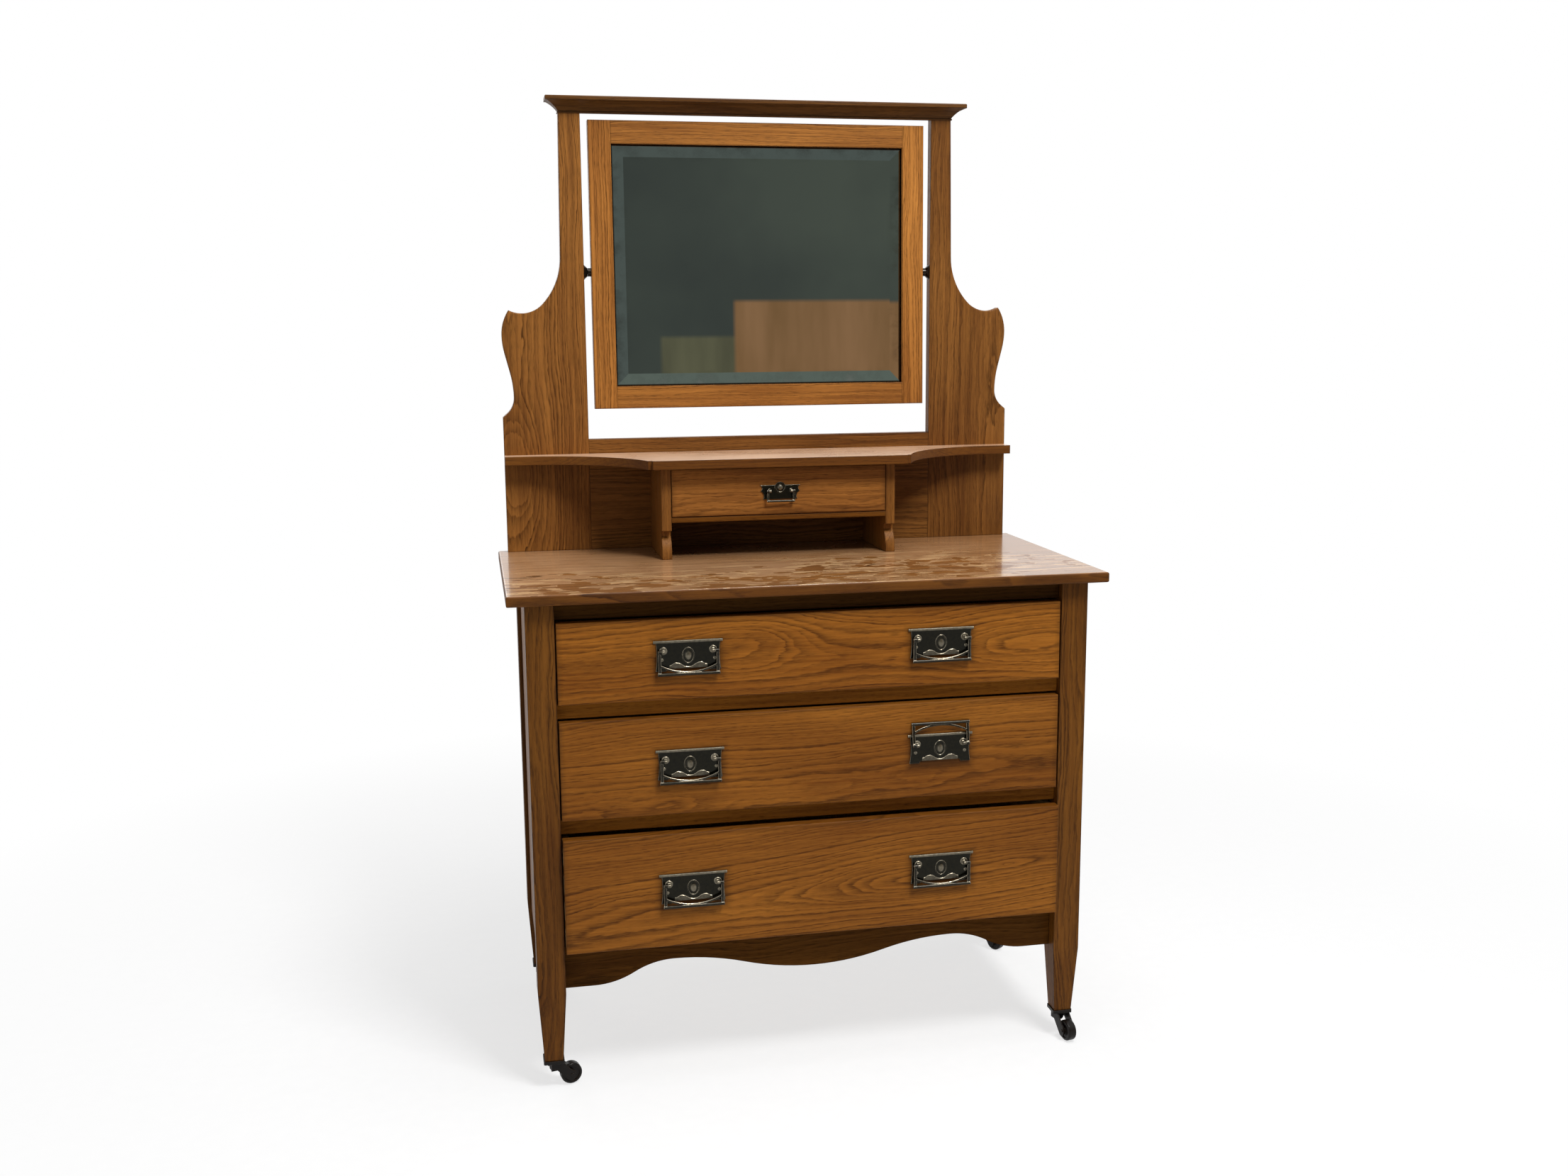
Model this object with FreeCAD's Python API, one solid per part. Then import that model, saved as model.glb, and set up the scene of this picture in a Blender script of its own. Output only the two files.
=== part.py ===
import FreeCAD, Part
import math
import os
from FreeCAD import Vector

# Oak dressing chest: three long drawers under a dressing top, a trinket drawer under a shaped
# shelf, and a bevelled swing mirror between two shaped uprights with a cove cornice.
# Millimetres.  +Z is up, -Y is the front, the origin is on the floor under the middle.

# ---------------------------------------------------------------- driving dimensions

# Chest
top_width = 914.0          # dressing top, side to side (three feet)
top_depth = 458.0
top_thickness = 16.0
top_edge_round = 3.0
back_y = 236.0             # back edge of the dressing top and back faces of the uprights
overhang_front = 20.0      # top beyond the leg faces
overhang_side = 26.0
overhang_back = 26.0
leg_size = 42.0
foot_size = 28.0
taper_start = 155.0        # height where the legs begin to taper
castor_height = 46.0       # floor to the underside of the feet
side_panel_thickness = 12.0
side_panel_recess = 6.0    # panel face behind the outer leg faces
side_panel_bottom = 156.0
panel_groove = 8.0         # how far the side panels enter the legs
rail_thickness = 22.0
rail_recess = 13.0         # rail faces behind the leg faces
top_rail_height = 26.5
tenon_length = 12.0
tenon_shoulder = 5.0       # step all round each tenon
mortise_clearance = 0.15
apron_thickness = 18.0
apron_recess = 21.0
apron_top = 221.5
apron_end = 156.0          # height of the apron's lower edge at its ends
apron_middle = 157.5       # and in the middle
apron_crest = 188.3        # and over the two arches
apron_arch = 222.0         # middle of the chest to the top of each arch
apron_tenon = 45.0         # height of the tenon at each end
apron_flat = 344.0         # middle of the chest to where the level ends begin
back_panel_thickness = 8.0
back_rail_thickness = 18.0
back_rail_bottom = 177.0
back_rebate = 16.0         # how far the back panel laps onto the rear legs

# Long drawers, from the bottom drawer up
drawer_heights = (177.0, 150.0, 122.0)
drawer_names = ("drawer_3", "drawer_2", "drawer_1")
drawer_ajar = (12.0, 0.0, 0.0)      # how far each stands out from the legs
pull_rise = (2.5, 2.0, 5.5)         # pull centre above the middle of each front
tail_counts = (4, 3, 3)
gap_below_front = 1.0
gap_above_front = 3.5
gap_beside_front = 2.0
front_thickness = 18.0
front_edge_round = 1.5
drawer_wall = 10.0
drawer_bottom_thickness = 6.0
bottom_groove = 4.0
bottom_height = 10.0       # lower edge of a side to the underside of the drawer bottom
side_drop = 5.0            # drawer sides below the top edge of the front
back_drop = 12.0
runner_clearance = 0.3     # drawer side above its runner
guide_clearance = 1.0      # drawer side inside its guide
rear_clearance = 8.0       # drawer sides short of the back rail
back_inset = 6.0           # drawer back forward of the ends of the sides
runner_height = 20.0
runner_width = 38.0
guide_height = 18.0
front_lap = 5.0            # wood left in front of the dovetails
tail_slope = 9.0           # degrees
pull_spacing = 389.0

# Superstructure
upright_thickness = 18.0
upright_edge_round = 2.0
upright_inset = 16.0       # base corners of the uprights inside the ends of the dressing top
upright_board_height = 188.0
mirror_height = 472.4
mirror_side_gap = 12.3
mirror_top_gap = 9.0
mirror_board_gap = 51.1    # mirror above the board between the uprights
mirror_frame = 37.5        # face width of the frame
mirror_thickness = 20.0
mirror_edge_round = 2.0
mirror_pivot_drop = 9.5    # pivots below the middle of the frame
mirror_lean = 1.0          # degrees, top leaning back
glass_rebate = 8.0
glass_set_back = 8.0
glass_thickness = 5.0
glass_bevel_width = 20.0
glass_bevel_depth = 2.2
backboard_thickness = 5.0
neck_width = 35.4          # upright beside the top of the mirror
neck_spread = 3.3          # outward drift of the straight run below the cornice
sweep_radius = 112.0       # outline of an upright below that run, in order
sweep_angle = 44.0
throat_radius = 48.0
throat_angle = 73.0
wing_heading = 304.0       # direction just past the tip of the wing
wing_radius = 73.0
wing_angle = 34.0
flank_radius = 125.0
flank_angle = 14.0
flank_run = 33.0
hollow_radius = 169.0
hollow_angle = 14.0
toe_radius = 35.0
toe_angle = 50.0
toe_run = 9.0
base_edge_height = 227.7   # upright edge of the base, above the dressing top
pivot_cone_base = 13.0
pivot_cone_tip = 7.0
pivot_cone_length = 6.0
pivot_pin_radius = 3.0
pivot_pin_entry = 10.0     # pin inside the mirror frame
pin_clearance = 0.05
collar_end_gap = 0.5

# Cornice
cornice_height = 25.5
cornice_projection = 21.5
cornice_band = 7.0         # flat band at the top
cornice_lip = 3.0          # underside of the band, outside the cove
cornice_bead = 3.0         # half-round bead at the bottom
cornice_hollow = 1.6       # depth of the cove below its chord
cornice_edge_round = 2.0
cornice_wall = 5.0         # moulding left in front of its hollow back
cornice_board = 8.0        # thickness over that hollow

# Shelf and trinket drawer
shelf_top = 164.0          # above the dressing top
shelf_thickness = 14.7
shelf_end_depth = 32.0
shelf_middle_depth = 175.0
shelf_middle_width = 424.0
shelf_curve_end = 42.0     # straight run at each end of the shelf
shelf_curve_sag = 35.0
shelf_nick = 7.0
bracket_thickness = 15.8
bracket_inner = 180.4      # half the clear width between the brackets
bracket_depth = 150.4
bracket_shoulder = 47.0    # above the dressing top
bracket_notch = 10.0
bracket_notch_depth = 13.0
trinket_floor_thickness = 8.5
trinket_floor_top = 68.8   # above the dressing top
trinket_gap = 1.0
trinket_gap_above = 2.0
trinket_front_thickness = 12.0
trinket_front_proud = 1.5
trinket_wall = 8.0
trinket_bottom_thickness = 4.0
trinket_bottom_height = 5.0
trinket_bottom_groove = 3.0
trinket_rear_clearance = 6.0
trinket_tails = 2
trinket_pull_rise = 1.5

# Long-drawer pulls: a stamped plate and a hinged bail, heights from the middle of the boss
plate_thickness = 1.5
plate_top = 21.5
plate_half_top = 48.0
plate_half_waist = 46.5
plate_foot_half = 48.5
plate_foot_inner = 33.0
plate_foot_bottom = -22.5
plate_middle_half = 28.5   # level edge between the feet
plate_middle_bottom = -18.7
lip_height = 4.0
lip_half = 51.5
lip_depth = 2.4
boss_half_width = 9.2
boss_half_height = 12.2
boss_ring = 1.6
boss_groove = 0.6
boss_height = 3.0
relief_height = 0.6        # low wave along the foot of the plate
relief_middle_z = -17.0
relief_crest_x = 18.5
relief_crest_z = -10.5
relief_end_x = 28.0
relief_end_z = -14.0
rosette_radius = 5.5
rosette_height = 1.2
rosette_rise = 8.0
nail_radius = 2.2
nail_height = 1.2
nail_x = 39.3
nail_z = -5.4
hinge_rise = 7.0           # hinge axis above the middle of the boss
hinge_stand = 7.0          # hinge axis in front of the drawer
ear_half = 37.0
ear_width = 3.6
ear_radius = 2.8
bail_pin_radius = 1.2
eye_radius = 3.0
eye_width = 6.2
eye_side_gap = 0.4
bail_thickness = 2.4
bail_arm_width = 4.2
bail_face_gap = 0.3        # grip to the drawer face when it rests against it
bail_grip_radius = 2.4
bail_grip_half = 46.2
bail_reach = 33.5          # hinge axis to the middle of the grip
bail_rib_width = 3.0
bail_rib_radius = 88.0
bail_rib_gap = 2.3         # middle of the rib above the middle of the grip

# Trinket pull
small_plate_half = 34.0
small_plate_top = 8.0
small_plate_bottom = -15.0
small_cusp_half = 33.0     # point between the two scallops of each end
small_cusp_z = -1.5
small_foot_half = 28.5
small_scallop = 3.2        # how far the scallops are hollowed
small_boss_radius = 9.3
small_boss_ring = 2.2
small_boss_rise = 3.6
small_ear_half = 17.8
small_eye_width = 3.4
small_hinge_rise = -1.5
small_bail_reach = 16.5
small_grip_half = 22.8
small_grip_radius = 1.8

# Castors
castor_plate_size = 31.5
castor_plate_thickness = 5.0
castor_plate_round = 3.0
swivel_pin_radius = 4.0
swivel_collar_radius = 8.5
swivel_collar_foot = 6.8   # radius at the lower end of the tapered collar
swivel_collar_height = 12.5
swivel_gap = 0.3
swivel_head_radius = 5.6   # peened end of the swivel pin under the collar
swivel_head_height = 1.6
castor_trail = 26.0
wheel_radius = 16.5
wheel_width = 14.5
wheel_round = 3.0
wheel_hub_radius = 6.0
wheel_hub_proud = 0.5
wheel_dish = 1.5
wheel_rim = 4.5
axle_radius = 2.5
fork_gap = 0.9             # wheel hub to fork cheek
fork_thickness = 2.5
fork_boss_radius = 10.0    # lower back corner of each cheek, round the axle
fork_nose = 4.5            # cheek in front of the axle
fork_shoulder = 11.5       # cheek in front of the swivel pin
fork_foot = 2.5            # where the collar's lower edge meets the cheek
fork_bridge = 3.0
axle_head = 1.2
castor_angles = {"front_left": 12.0, "front_right": -79.0, "rear_left": -25.0, "rear_right": -60.0}

# ---------------------------------------------------------------- derived places

leg_outer = top_width / 2 - overhang_side
leg_inner = leg_outer - leg_size
top_front = back_y - top_depth
leg_front = top_front + overhang_front
case_back = back_y - overhang_back
rear_leg_front = case_back - leg_size
panel_outer = leg_outer - side_panel_recess
panel_inner = panel_outer - side_panel_thickness
rail_front = leg_front + rail_recess
apron_front = leg_front + apron_recess
back_rail_front = case_back - back_panel_thickness - back_rail_thickness
front_half = leg_inner - gap_beside_front
guide_inner = front_half + guide_clearance
drawer_end = back_rail_front - rear_clearance


def stack_drawers():
    """Works upwards from the apron: the bottom of each front and the rail over it."""
    bottoms = []
    rails = []
    z = apron_top
    for height in drawer_heights:
        bottoms.append(z + gap_below_front)
        z += gap_below_front + height + gap_above_front
        rails.append(z)
        z += rail_thickness
    return bottoms, rails


front_bottoms, rail_bottoms = stack_drawers()
top_rail_bottom = rail_bottoms[-1]
case_top = top_rail_bottom + top_rail_height
top_z = case_top + top_thickness
upright_front = back_y - upright_thickness
upright_height = upright_board_height + mirror_board_gap + mirror_height + mirror_top_gap
upright_top = top_z + upright_height
mirror_top = upright_top - mirror_top_gap
mirror_middle = mirror_top - mirror_height / 2
pivot_z = mirror_middle - mirror_pivot_drop
pivot_y = back_y - upright_thickness / 2
mirror_front = pivot_y - mirror_thickness / 2
shelf_z = top_z + shelf_top
shelf_under = shelf_z - shelf_thickness
bracket_front = upright_front - bracket_depth
trinket_floor_z = top_z + trinket_floor_top
bail_rest_angle = math.degrees(math.asin(
    (hinge_stand - bail_grip_radius - bail_face_gap) / bail_reach))
foot_centre = leg_outer - leg_size / 2
front_foot_y = leg_front + leg_size / 2
rear_foot_y = case_back - leg_size / 2
wheel_z = wheel_radius


# ---------------------------------------------------------------- small helpers

def block(x0, x1, y0, y1, z0, z1):
    return Part.makeBox(x1 - x0, y1 - y0, z1 - z0, Vector(x0, y0, z0))


def bar_x(x0, x1, y, z, radius):
    return Part.makeCylinder(radius, x1 - x0, Vector(x0, y, z), Vector(1, 0, 0))


def post_z(x, y, z0, z1, radius):
    return Part.makeCylinder(radius, z1 - z0, Vector(x, y, z0), Vector(0, 0, 1))


def mirrored(shape):
    """The same piece on the other side of the chest."""
    return shape.mirror(Vector(0, 0, 0), Vector(1, 0, 0))


def moved(shape, x, y, z):
    copy = shape.copy()
    copy.translate(Vector(x, y, z))
    return copy


def line(a, b):
    return Part.LineSegment(a, b).toShape()


def arc(a, b, c):
    return Part.Arc(a, b, c).toShape()


def solid_from(edges, direction):
    """Extrudes the flat face inside a closed chain of edges."""
    return Part.Face(Part.Wire(edges)).extrude(direction)


def polygon_edges(points):
    return [line(a, b) for a, b in zip(points, points[1:] + points[:1])]


def rounded(shape, radius, keep):
    """Rounds the edges whose middle point passes the test keep."""
    edges = []
    for edge in shape.Edges:
        middle = edge.valueAt((edge.FirstParameter + edge.LastParameter) / 2)
        if keep(middle, edge):
            edges.append(edge)
    return shape.makeFillet(radius, edges)


def ogee(a, b):
    """Two equal tangent arcs in the XZ plane that join two points where the curve is level."""
    middle = (a + b) * 0.5
    radius = ((b.x - a.x) ** 2 + (b.z - a.z) ** 2) / (4 * abs(b.z - a.z))
    rise = math.copysign(1, b.z - a.z)
    run = abs(b.x - a.x) / 4
    sag = radius - math.sqrt(radius ** 2 - run ** 2)
    first = Vector((a.x * 3 + b.x) / 4, a.y, a.z + rise * sag)
    second = Vector((a.x + b.x * 3) / 4, a.y, b.z - rise * sag)
    return [arc(a, first, middle), arc(middle, second, b)]


class Outline:
    """A chain of straight runs and tangent arcs in the XZ plane, drawn from a heading."""

    def __init__(self, x, y, z, heading):
        self.point = Vector(x, y, z)
        self.heading = heading
        self.edges = []

    def direction(self, heading):
        angle = math.radians(heading)
        return Vector(math.cos(angle), 0, math.sin(angle))

    def line_to(self, x, z):
        end = Vector(x, self.point.y, z)
        self.edges.append(line(self.point, end))
        self.point = end

    def run(self, length):
        end = self.point + self.direction(self.heading) * length
        self.line_to(end.x, end.z)

    def bend(self, radius, turn):
        """An arc that turns left for a positive angle and right for a negative one."""
        side = math.copysign(90, turn)
        centre = self.point + self.direction(self.heading + side) * radius
        middle = centre - self.direction(self.heading + turn / 2 + side) * radius
        end = centre - self.direction(self.heading + turn + side) * radius
        self.edges.append(arc(self.point, middle, end))
        self.point = end
        self.heading += turn


def export(name, shape):
    shape.exportStep("parts/" + name + ".step")
    print(name, len(shape.Solids), "solid(s)", "valid" if shape.isValid() else "NOT VALID")


def group(shapes):
    return Part.makeCompound(shapes)


# ---------------------------------------------------------------- carcase

def rail_with_tenons(y0, y1, z0, z1):
    """A cross rail between two legs, with a tenon at each end."""
    body = block(-leg_inner, leg_inner, y0, y1, z0, z1)
    half = leg_inner + tenon_length
    tongue = block(-half, half, y0 + tenon_shoulder, y1 - tenon_shoulder,
                   z0 + tenon_shoulder, z1 - tenon_shoulder)
    return body.fuse(tongue).removeSplitter()


def mortise(y0, y1, z0, z1):
    """The slot in a right-hand leg for the tenon of the rail with the same section."""
    slack = mortise_clearance
    inset = tenon_shoulder - slack
    return block(leg_inner, leg_inner + tenon_length + slack, y0 + inset, y1 - inset,
                 z0 + inset, z1 - inset)


front_rail_spans = [(rail_front, leg_front + leg_size - rail_recess / 2, top_rail_bottom, case_top)]
front_rail_spans += [(rail_front, leg_front + leg_size, z, z + rail_thickness)
                     for z in rail_bottoms[:-1]]
apron_span = (apron_front, apron_front + apron_thickness, apron_top - apron_tenon, apron_top)
back_rail_spans = [(back_rail_front, back_rail_front + back_rail_thickness, z0, z1)
                   for z0, z1 in ((back_rail_bottom, apron_top), (top_rail_bottom, case_top))]


def leg_blank(y0):
    """A square leg on the right-hand side with its foot tapered on all four faces."""
    y1 = y0 + leg_size
    inset = (leg_size - foot_size) / 2
    post = block(leg_inner, leg_outer, y0, y1, taper_start, case_top)
    upper = polygon_edges([Vector(leg_inner, y0, taper_start), Vector(leg_outer, y0, taper_start),
                           Vector(leg_outer, y1, taper_start), Vector(leg_inner, y1, taper_start)])
    x0, x1 = leg_inner + inset, leg_outer - inset
    f0, f1 = y0 + inset, y1 - inset
    lower = polygon_edges([Vector(x0, f0, castor_height), Vector(x1, f0, castor_height),
                           Vector(x1, f1, castor_height), Vector(x0, f1, castor_height)])
    foot = Part.makeLoft([Part.Wire(upper), Part.Wire(lower)], True, True)
    return post.fuse(foot).removeSplitter()


def panel_slot(y0, y1):
    return block(panel_inner, panel_outer, y0, y1, side_panel_bottom, case_top)


def make_front_leg():
    leg = leg_blank(leg_front)
    back = leg_front + leg_size
    leg = leg.cut(panel_slot(back - panel_groove, back))
    for span in front_rail_spans + [apron_span]:
        leg = leg.cut(mortise(*span))
    return leg


def make_rear_leg():
    leg = leg_blank(rear_leg_front)
    leg = leg.cut(panel_slot(rear_leg_front, rear_leg_front + panel_groove))
    for span in back_rail_spans:
        leg = leg.cut(mortise(*span))
    rebate = block(leg_inner, leg_inner + back_rebate, case_back - back_panel_thickness,
                   case_back, back_rail_bottom, case_top)
    return leg.cut(rebate)


def make_side_panel():
    return block(panel_inner, panel_outer, leg_front + leg_size - panel_groove,
                 rear_leg_front + panel_groove, side_panel_bottom, case_top)


def make_top_board():
    board = block(-top_width / 2, top_width / 2, top_front, back_y, case_top, top_z)
    return rounded(board, top_edge_round,
                   lambda p, e: p.y < back_y - 1 and abs(p.z - case_top - top_thickness / 2) > 1)


def make_apron():
    """The front rail under the bottom drawer, its lower edge drawn as two arches."""
    y = apron_front
    body_half = leg_inner
    points = [Vector(-apron_flat, y, apron_end), Vector(-apron_arch, y, apron_crest),
              Vector(0, y, apron_middle), Vector(apron_arch, y, apron_crest),
              Vector(apron_flat, y, apron_end)]
    edges = [line(Vector(-body_half, y, apron_end), points[0])]
    for a, b in zip(points, points[1:]):
        edges += ogee(a, b)
    edges.append(line(points[-1], Vector(body_half, y, apron_end)))
    edges.append(line(Vector(body_half, y, apron_end), Vector(body_half, y, apron_top)))
    edges.append(line(Vector(body_half, y, apron_top), Vector(-body_half, y, apron_top)))
    edges.append(line(Vector(-body_half, y, apron_top), Vector(-body_half, y, apron_end)))
    board = solid_from(edges, Vector(0, apron_thickness, 0))
    y0, y1, z0, z1 = apron_span
    half = leg_inner + tenon_length
    tongue = block(leg_inner - tenon_length, half, y0 + tenon_shoulder, y1 - tenon_shoulder,
                   z0 + tenon_shoulder, z1 - tenon_shoulder)
    return board.fuse([tongue, mirrored(tongue)]).removeSplitter()


def make_back_panel():
    half = leg_inner + back_rebate
    return block(-half, half, case_back - back_panel_thickness, case_back,
                 back_rail_bottom, case_top)


def runner_tops():
    """Heights of the running surfaces, bottom drawer first."""
    return [apron_top] + [z + rail_thickness for z in rail_bottoms[:-1]]


def make_runners():
    pieces = []
    start = leg_front + leg_size
    for z in runner_tops():
        pieces.append(block(panel_inner - runner_width, panel_inner, start, rear_leg_front,
                            z - runner_height, z))
    pieces.append(block(panel_inner - runner_width, panel_inner, start, rear_leg_front,
                        top_rail_bottom, case_top))
    return group(pieces + [mirrored(p) for p in pieces])


def make_guides():
    start = leg_front + leg_size
    pieces = [block(guide_inner, panel_inner, start, rear_leg_front, z, z + guide_height)
              for z in runner_tops()]
    return group(pieces + [mirrored(p) for p in pieces])


def build_carcase():
    export("top_board", make_top_board())
    front_leg = make_front_leg()
    rear_leg = make_rear_leg()
    export("leg_front_right", front_leg)
    export("leg_front_left", mirrored(front_leg))
    export("leg_rear_right", rear_leg)
    export("leg_rear_left", mirrored(rear_leg))
    export("side_panel_right", make_side_panel())
    export("side_panel_left", mirrored(make_side_panel()))
    export("front_top_rail", rail_with_tenons(*front_rail_spans[0]))
    export("drawer_rails", group([rail_with_tenons(*span) for span in front_rail_spans[1:]]))
    export("apron", make_apron())
    export("back_panel", make_back_panel())
    export("back_rails", group([rail_with_tenons(*span) for span in back_rail_spans]))
    export("drawer_runners", make_runners())
    export("drawer_guides", make_guides())


# ---------------------------------------------------------------- drawers

def tails(x0, x1, root_y, depth, z0, z1, count):
    """Dovetail tails that point forward from root_y, spread evenly between two heights."""
    pitch = (z1 - z0) / count
    flare = depth * math.tan(math.radians(tail_slope))
    shapes = []
    for i in range(count):
        low = z0 + pitch * i + pitch * 0.2
        high = z0 + pitch * (i + 1) - pitch * 0.2
        points = [Vector(x0, root_y, low), Vector(x0, root_y - depth, low - flare),
                  Vector(x0, root_y - depth, high + flare), Vector(x0, root_y, high)]
        shapes.append(solid_from(polygon_edges(points), Vector(x1 - x0, 0, 0)))
    return shapes


def drawer_case(half, front_y, thickness, z0, height, wall, lap, count, end_y,
                bottom_z, bottom_thickness, groove):
    """Front, box and bottom of one drawer; the box is two dovetailed sides and a back."""
    root = front_y + thickness
    side_top = z0 + height - side_drop
    side_low = z0 - gap_below_front + runner_clearance
    joint = tails(half - wall, half, root, thickness - lap, z0 + 2, side_top, count)
    side = block(half - wall, half, root, end_y, side_low, side_top).fuse(joint)
    channel = block(half - wall, half - wall + groove, root, end_y,
                    bottom_z, bottom_z + bottom_thickness)
    side = side.removeSplitter().cut(channel)
    front = block(-half, half, front_y, root, z0, z0 + height)
    front = rounded(front, front_edge_round, lambda p, e: abs(p.y - front_y) < 0.01)
    for tail in joint:
        front = front.cut(tail).cut(mirrored(tail))
    inner = half - wall
    front_groove = block(-inner, inner, root - groove, root,
                         bottom_z, bottom_z + bottom_thickness)
    front = front.cut(front_groove)
    back = block(-inner, inner, end_y - back_inset - wall, end_y - back_inset,
                 bottom_z + bottom_thickness, side_top - back_drop)
    bottom = block(-inner - groove, inner + groove, root, end_y,
                   bottom_z, bottom_z + bottom_thickness)
    lip = block(-inner, inner, root - groove, root, bottom_z, bottom_z + bottom_thickness)
    bottom = bottom.fuse(lip).removeSplitter()
    return front, group([side, mirrored(side), back]), bottom


def build_long_drawers():
    for i, name in enumerate(drawer_names):
        ajar = drawer_ajar[i]
        z0 = front_bottoms[i]
        height = drawer_heights[i]
        bottom_z = z0 - gap_below_front + runner_clearance + bottom_height
        front, box, bottom = drawer_case(
            front_half, leg_front, front_thickness, z0, height, drawer_wall, front_lap,
            tail_counts[i], drawer_end, bottom_z, drawer_bottom_thickness, bottom_groove)
        export(name + "_front", moved(front, 0, -ajar, 0))
        export(name + "_box", moved(box, 0, -ajar, 0))
        export(name + "_bottom", moved(bottom, 0, -ajar, 0))
        pull_z = z0 + height / 2 + pull_rise[i]
        plates = [moved(make_plate(), side * pull_spacing / 2, leg_front - ajar, pull_z)
                  for side in (-1, 1)]
        export(name + "_plates", group(plates))
        for side, word in ((-1, "left"), (1, "right")):
            flipped = name == "drawer_2" and word == "right"
            bail = make_bail(180 + bail_rest_angle if flipped else 0)
            export(name + "_bail_" + word,
                   moved(bail, side * pull_spacing / 2, leg_front - ajar, pull_z))


# ---------------------------------------------------------------- pulls
# A pull is drawn round its boss: x along the drawer, z up, the drawer face at y = 0.

def oval(half_width, half_height, depth):
    curve = Part.Ellipse(Vector(0, 0, half_height), Vector(half_width, 0, 0), Vector(0, 0, 0))
    return Part.Face(Part.Wire([curve.toShape()])).extrude(Vector(0, -depth, 0))


def disc(x, z, radius, depth):
    return Part.makeCylinder(radius, depth, Vector(x, 0, z), Vector(0, -1, 0))


def make_boss(half_width, half_height, ring):
    """A raised oval ring round a dome, the front cap of an ellipsoid turned about its height."""
    rim = oval(half_width, half_height, boss_height * 0.6)
    rim = rim.cut(oval(half_width - ring, half_height - ring, boss_height))
    wide = half_width - ring - boss_groove
    tall = half_height - ring - boss_groove
    radius = (wide ** 2 + boss_height ** 2) / (2 * boss_height)
    reach = tall * radius / wide
    ellipse = Part.Ellipse(Vector(0, 0, reach), Vector(radius, 0, 0), Vector(0, 0, 0))
    bow = Part.ArcOfEllipse(ellipse, 0, math.pi).toShape()
    section = Part.Face(Part.Wire([bow, line(Vector(0, 0, -reach), Vector(0, 0, reach))]))
    dome = section.revolve(Vector(0, 0, 0), Vector(0, 0, 1), 360)
    dome.translate(Vector(0, radius - boss_height, 0))
    front = block(-half_width, half_width, -boss_height - 1, 0, -half_height, half_height)
    return [rim, dome.common(front)]


def make_ear(x, axis_z, width, pin_to):
    """A knuckle on the plate and the stub pin that the bail's eye turns on."""
    side = math.copysign(1, x)
    x0, x1 = sorted((x - side * width / 2, x + side * width / 2))
    knuckle = bar_x(x0, x1, -hinge_stand, axis_z, ear_radius)
    web = block(x0, x1, -hinge_stand, 0, axis_z - ear_radius, axis_z + ear_radius)
    p0, p1 = sorted((x, pin_to))
    pin = bar_x(p0, p1, -hinge_stand, axis_z, bail_pin_radius)
    return [knuckle, web, pin]


def closed_plate(right, top_half, top):
    """A plate from the edges of its right side, mirrored, and its level top."""
    left = [mirrored(edge) for edge in reversed(right)]
    edges = right + left + [line(Vector(-top_half, 0, top), Vector(top_half, 0, top))]
    return solid_from(Part.__sortEdges__(edges), Vector(0, -plate_thickness, 0))


def plate_side():
    """Hollow side, square foot and the level edge between the feet."""
    foot_out = Vector(plate_foot_half, 0, plate_foot_bottom)
    foot_in = Vector(plate_foot_inner, 0, plate_foot_bottom)
    level = Vector(plate_middle_half, 0, plate_middle_bottom)
    diagonal = math.sqrt(0.5)
    hollow = Vector(level.x + (foot_in.x - level.x) * diagonal, 0,
                    foot_in.z + (level.z - foot_in.z) * diagonal)
    return [arc(Vector(plate_half_top, 0, plate_top), Vector(plate_half_waist, 0, 0), foot_out),
            line(foot_out, foot_in), arc(foot_in, hollow, level),
            line(level, Vector(0, 0, plate_middle_bottom))]


def make_relief():
    """The right half of the low wave along the foot of the plate."""
    middle = Vector(0, 0, relief_middle_z)
    crest = Vector(relief_crest_x, 0, relief_crest_z)
    end = Vector(relief_end_x, 0, relief_end_z)
    corner = Vector(relief_end_x, 0, plate_middle_bottom)
    origin = Vector(0, 0, plate_middle_bottom)
    edges = ogee(middle, crest) + ogee(crest, end)
    edges += [line(end, corner), line(corner, origin), line(origin, middle)]
    return solid_from(edges, Vector(0, -plate_thickness - relief_height, 0))


def make_plate():
    plate = closed_plate(plate_side(), plate_half_top, plate_top)
    lip = block(-lip_half, lip_half, -lip_depth, 0, plate_top - lip_height / 2,
                plate_top + lip_height / 2)
    lip = rounded(lip, lip_depth / 2,
                  lambda p, e: abs(p.y + lip_depth) < 0.01 and abs(p.x) < 1)
    relief = make_relief()
    pieces = [lip, relief, mirrored(relief)]
    pieces += make_boss(boss_half_width, boss_half_height, boss_ring)
    pin_to = ear_half + ear_width / 2 + eye_side_gap + eye_width
    for side in (-1, 1):
        pieces += make_ear(side * ear_half, hinge_rise, ear_width, side * pin_to)
        pieces.append(disc(side * ear_half, rosette_rise, rosette_radius,
                           plate_thickness + rosette_height))
        pieces.append(disc(side * nail_x, nail_z, nail_radius, plate_thickness + nail_height))
    return plate.fuse(pieces).removeSplitter()


def make_rib(half, middle_z):
    """The smile-shaped rib, a curved band whose middle lies just over the grip."""
    y = -hinge_stand + bail_thickness / 2
    rise = bail_rib_radius - math.sqrt(bail_rib_radius ** 2 - half ** 2)
    low, high = middle_z - bail_rib_width / 2, middle_z + bail_rib_width / 2
    corners = [Vector(-half, y, low + rise), Vector(half, y, low + rise),
               Vector(half, y, high + rise), Vector(-half, y, high + rise)]
    edges = [arc(corners[0], Vector(0, y, low), corners[1]), line(corners[1], corners[2]),
             arc(corners[2], Vector(0, y, high), corners[3]), line(corners[3], corners[0])]
    return solid_from(edges, Vector(0, -bail_thickness, 0))


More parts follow.
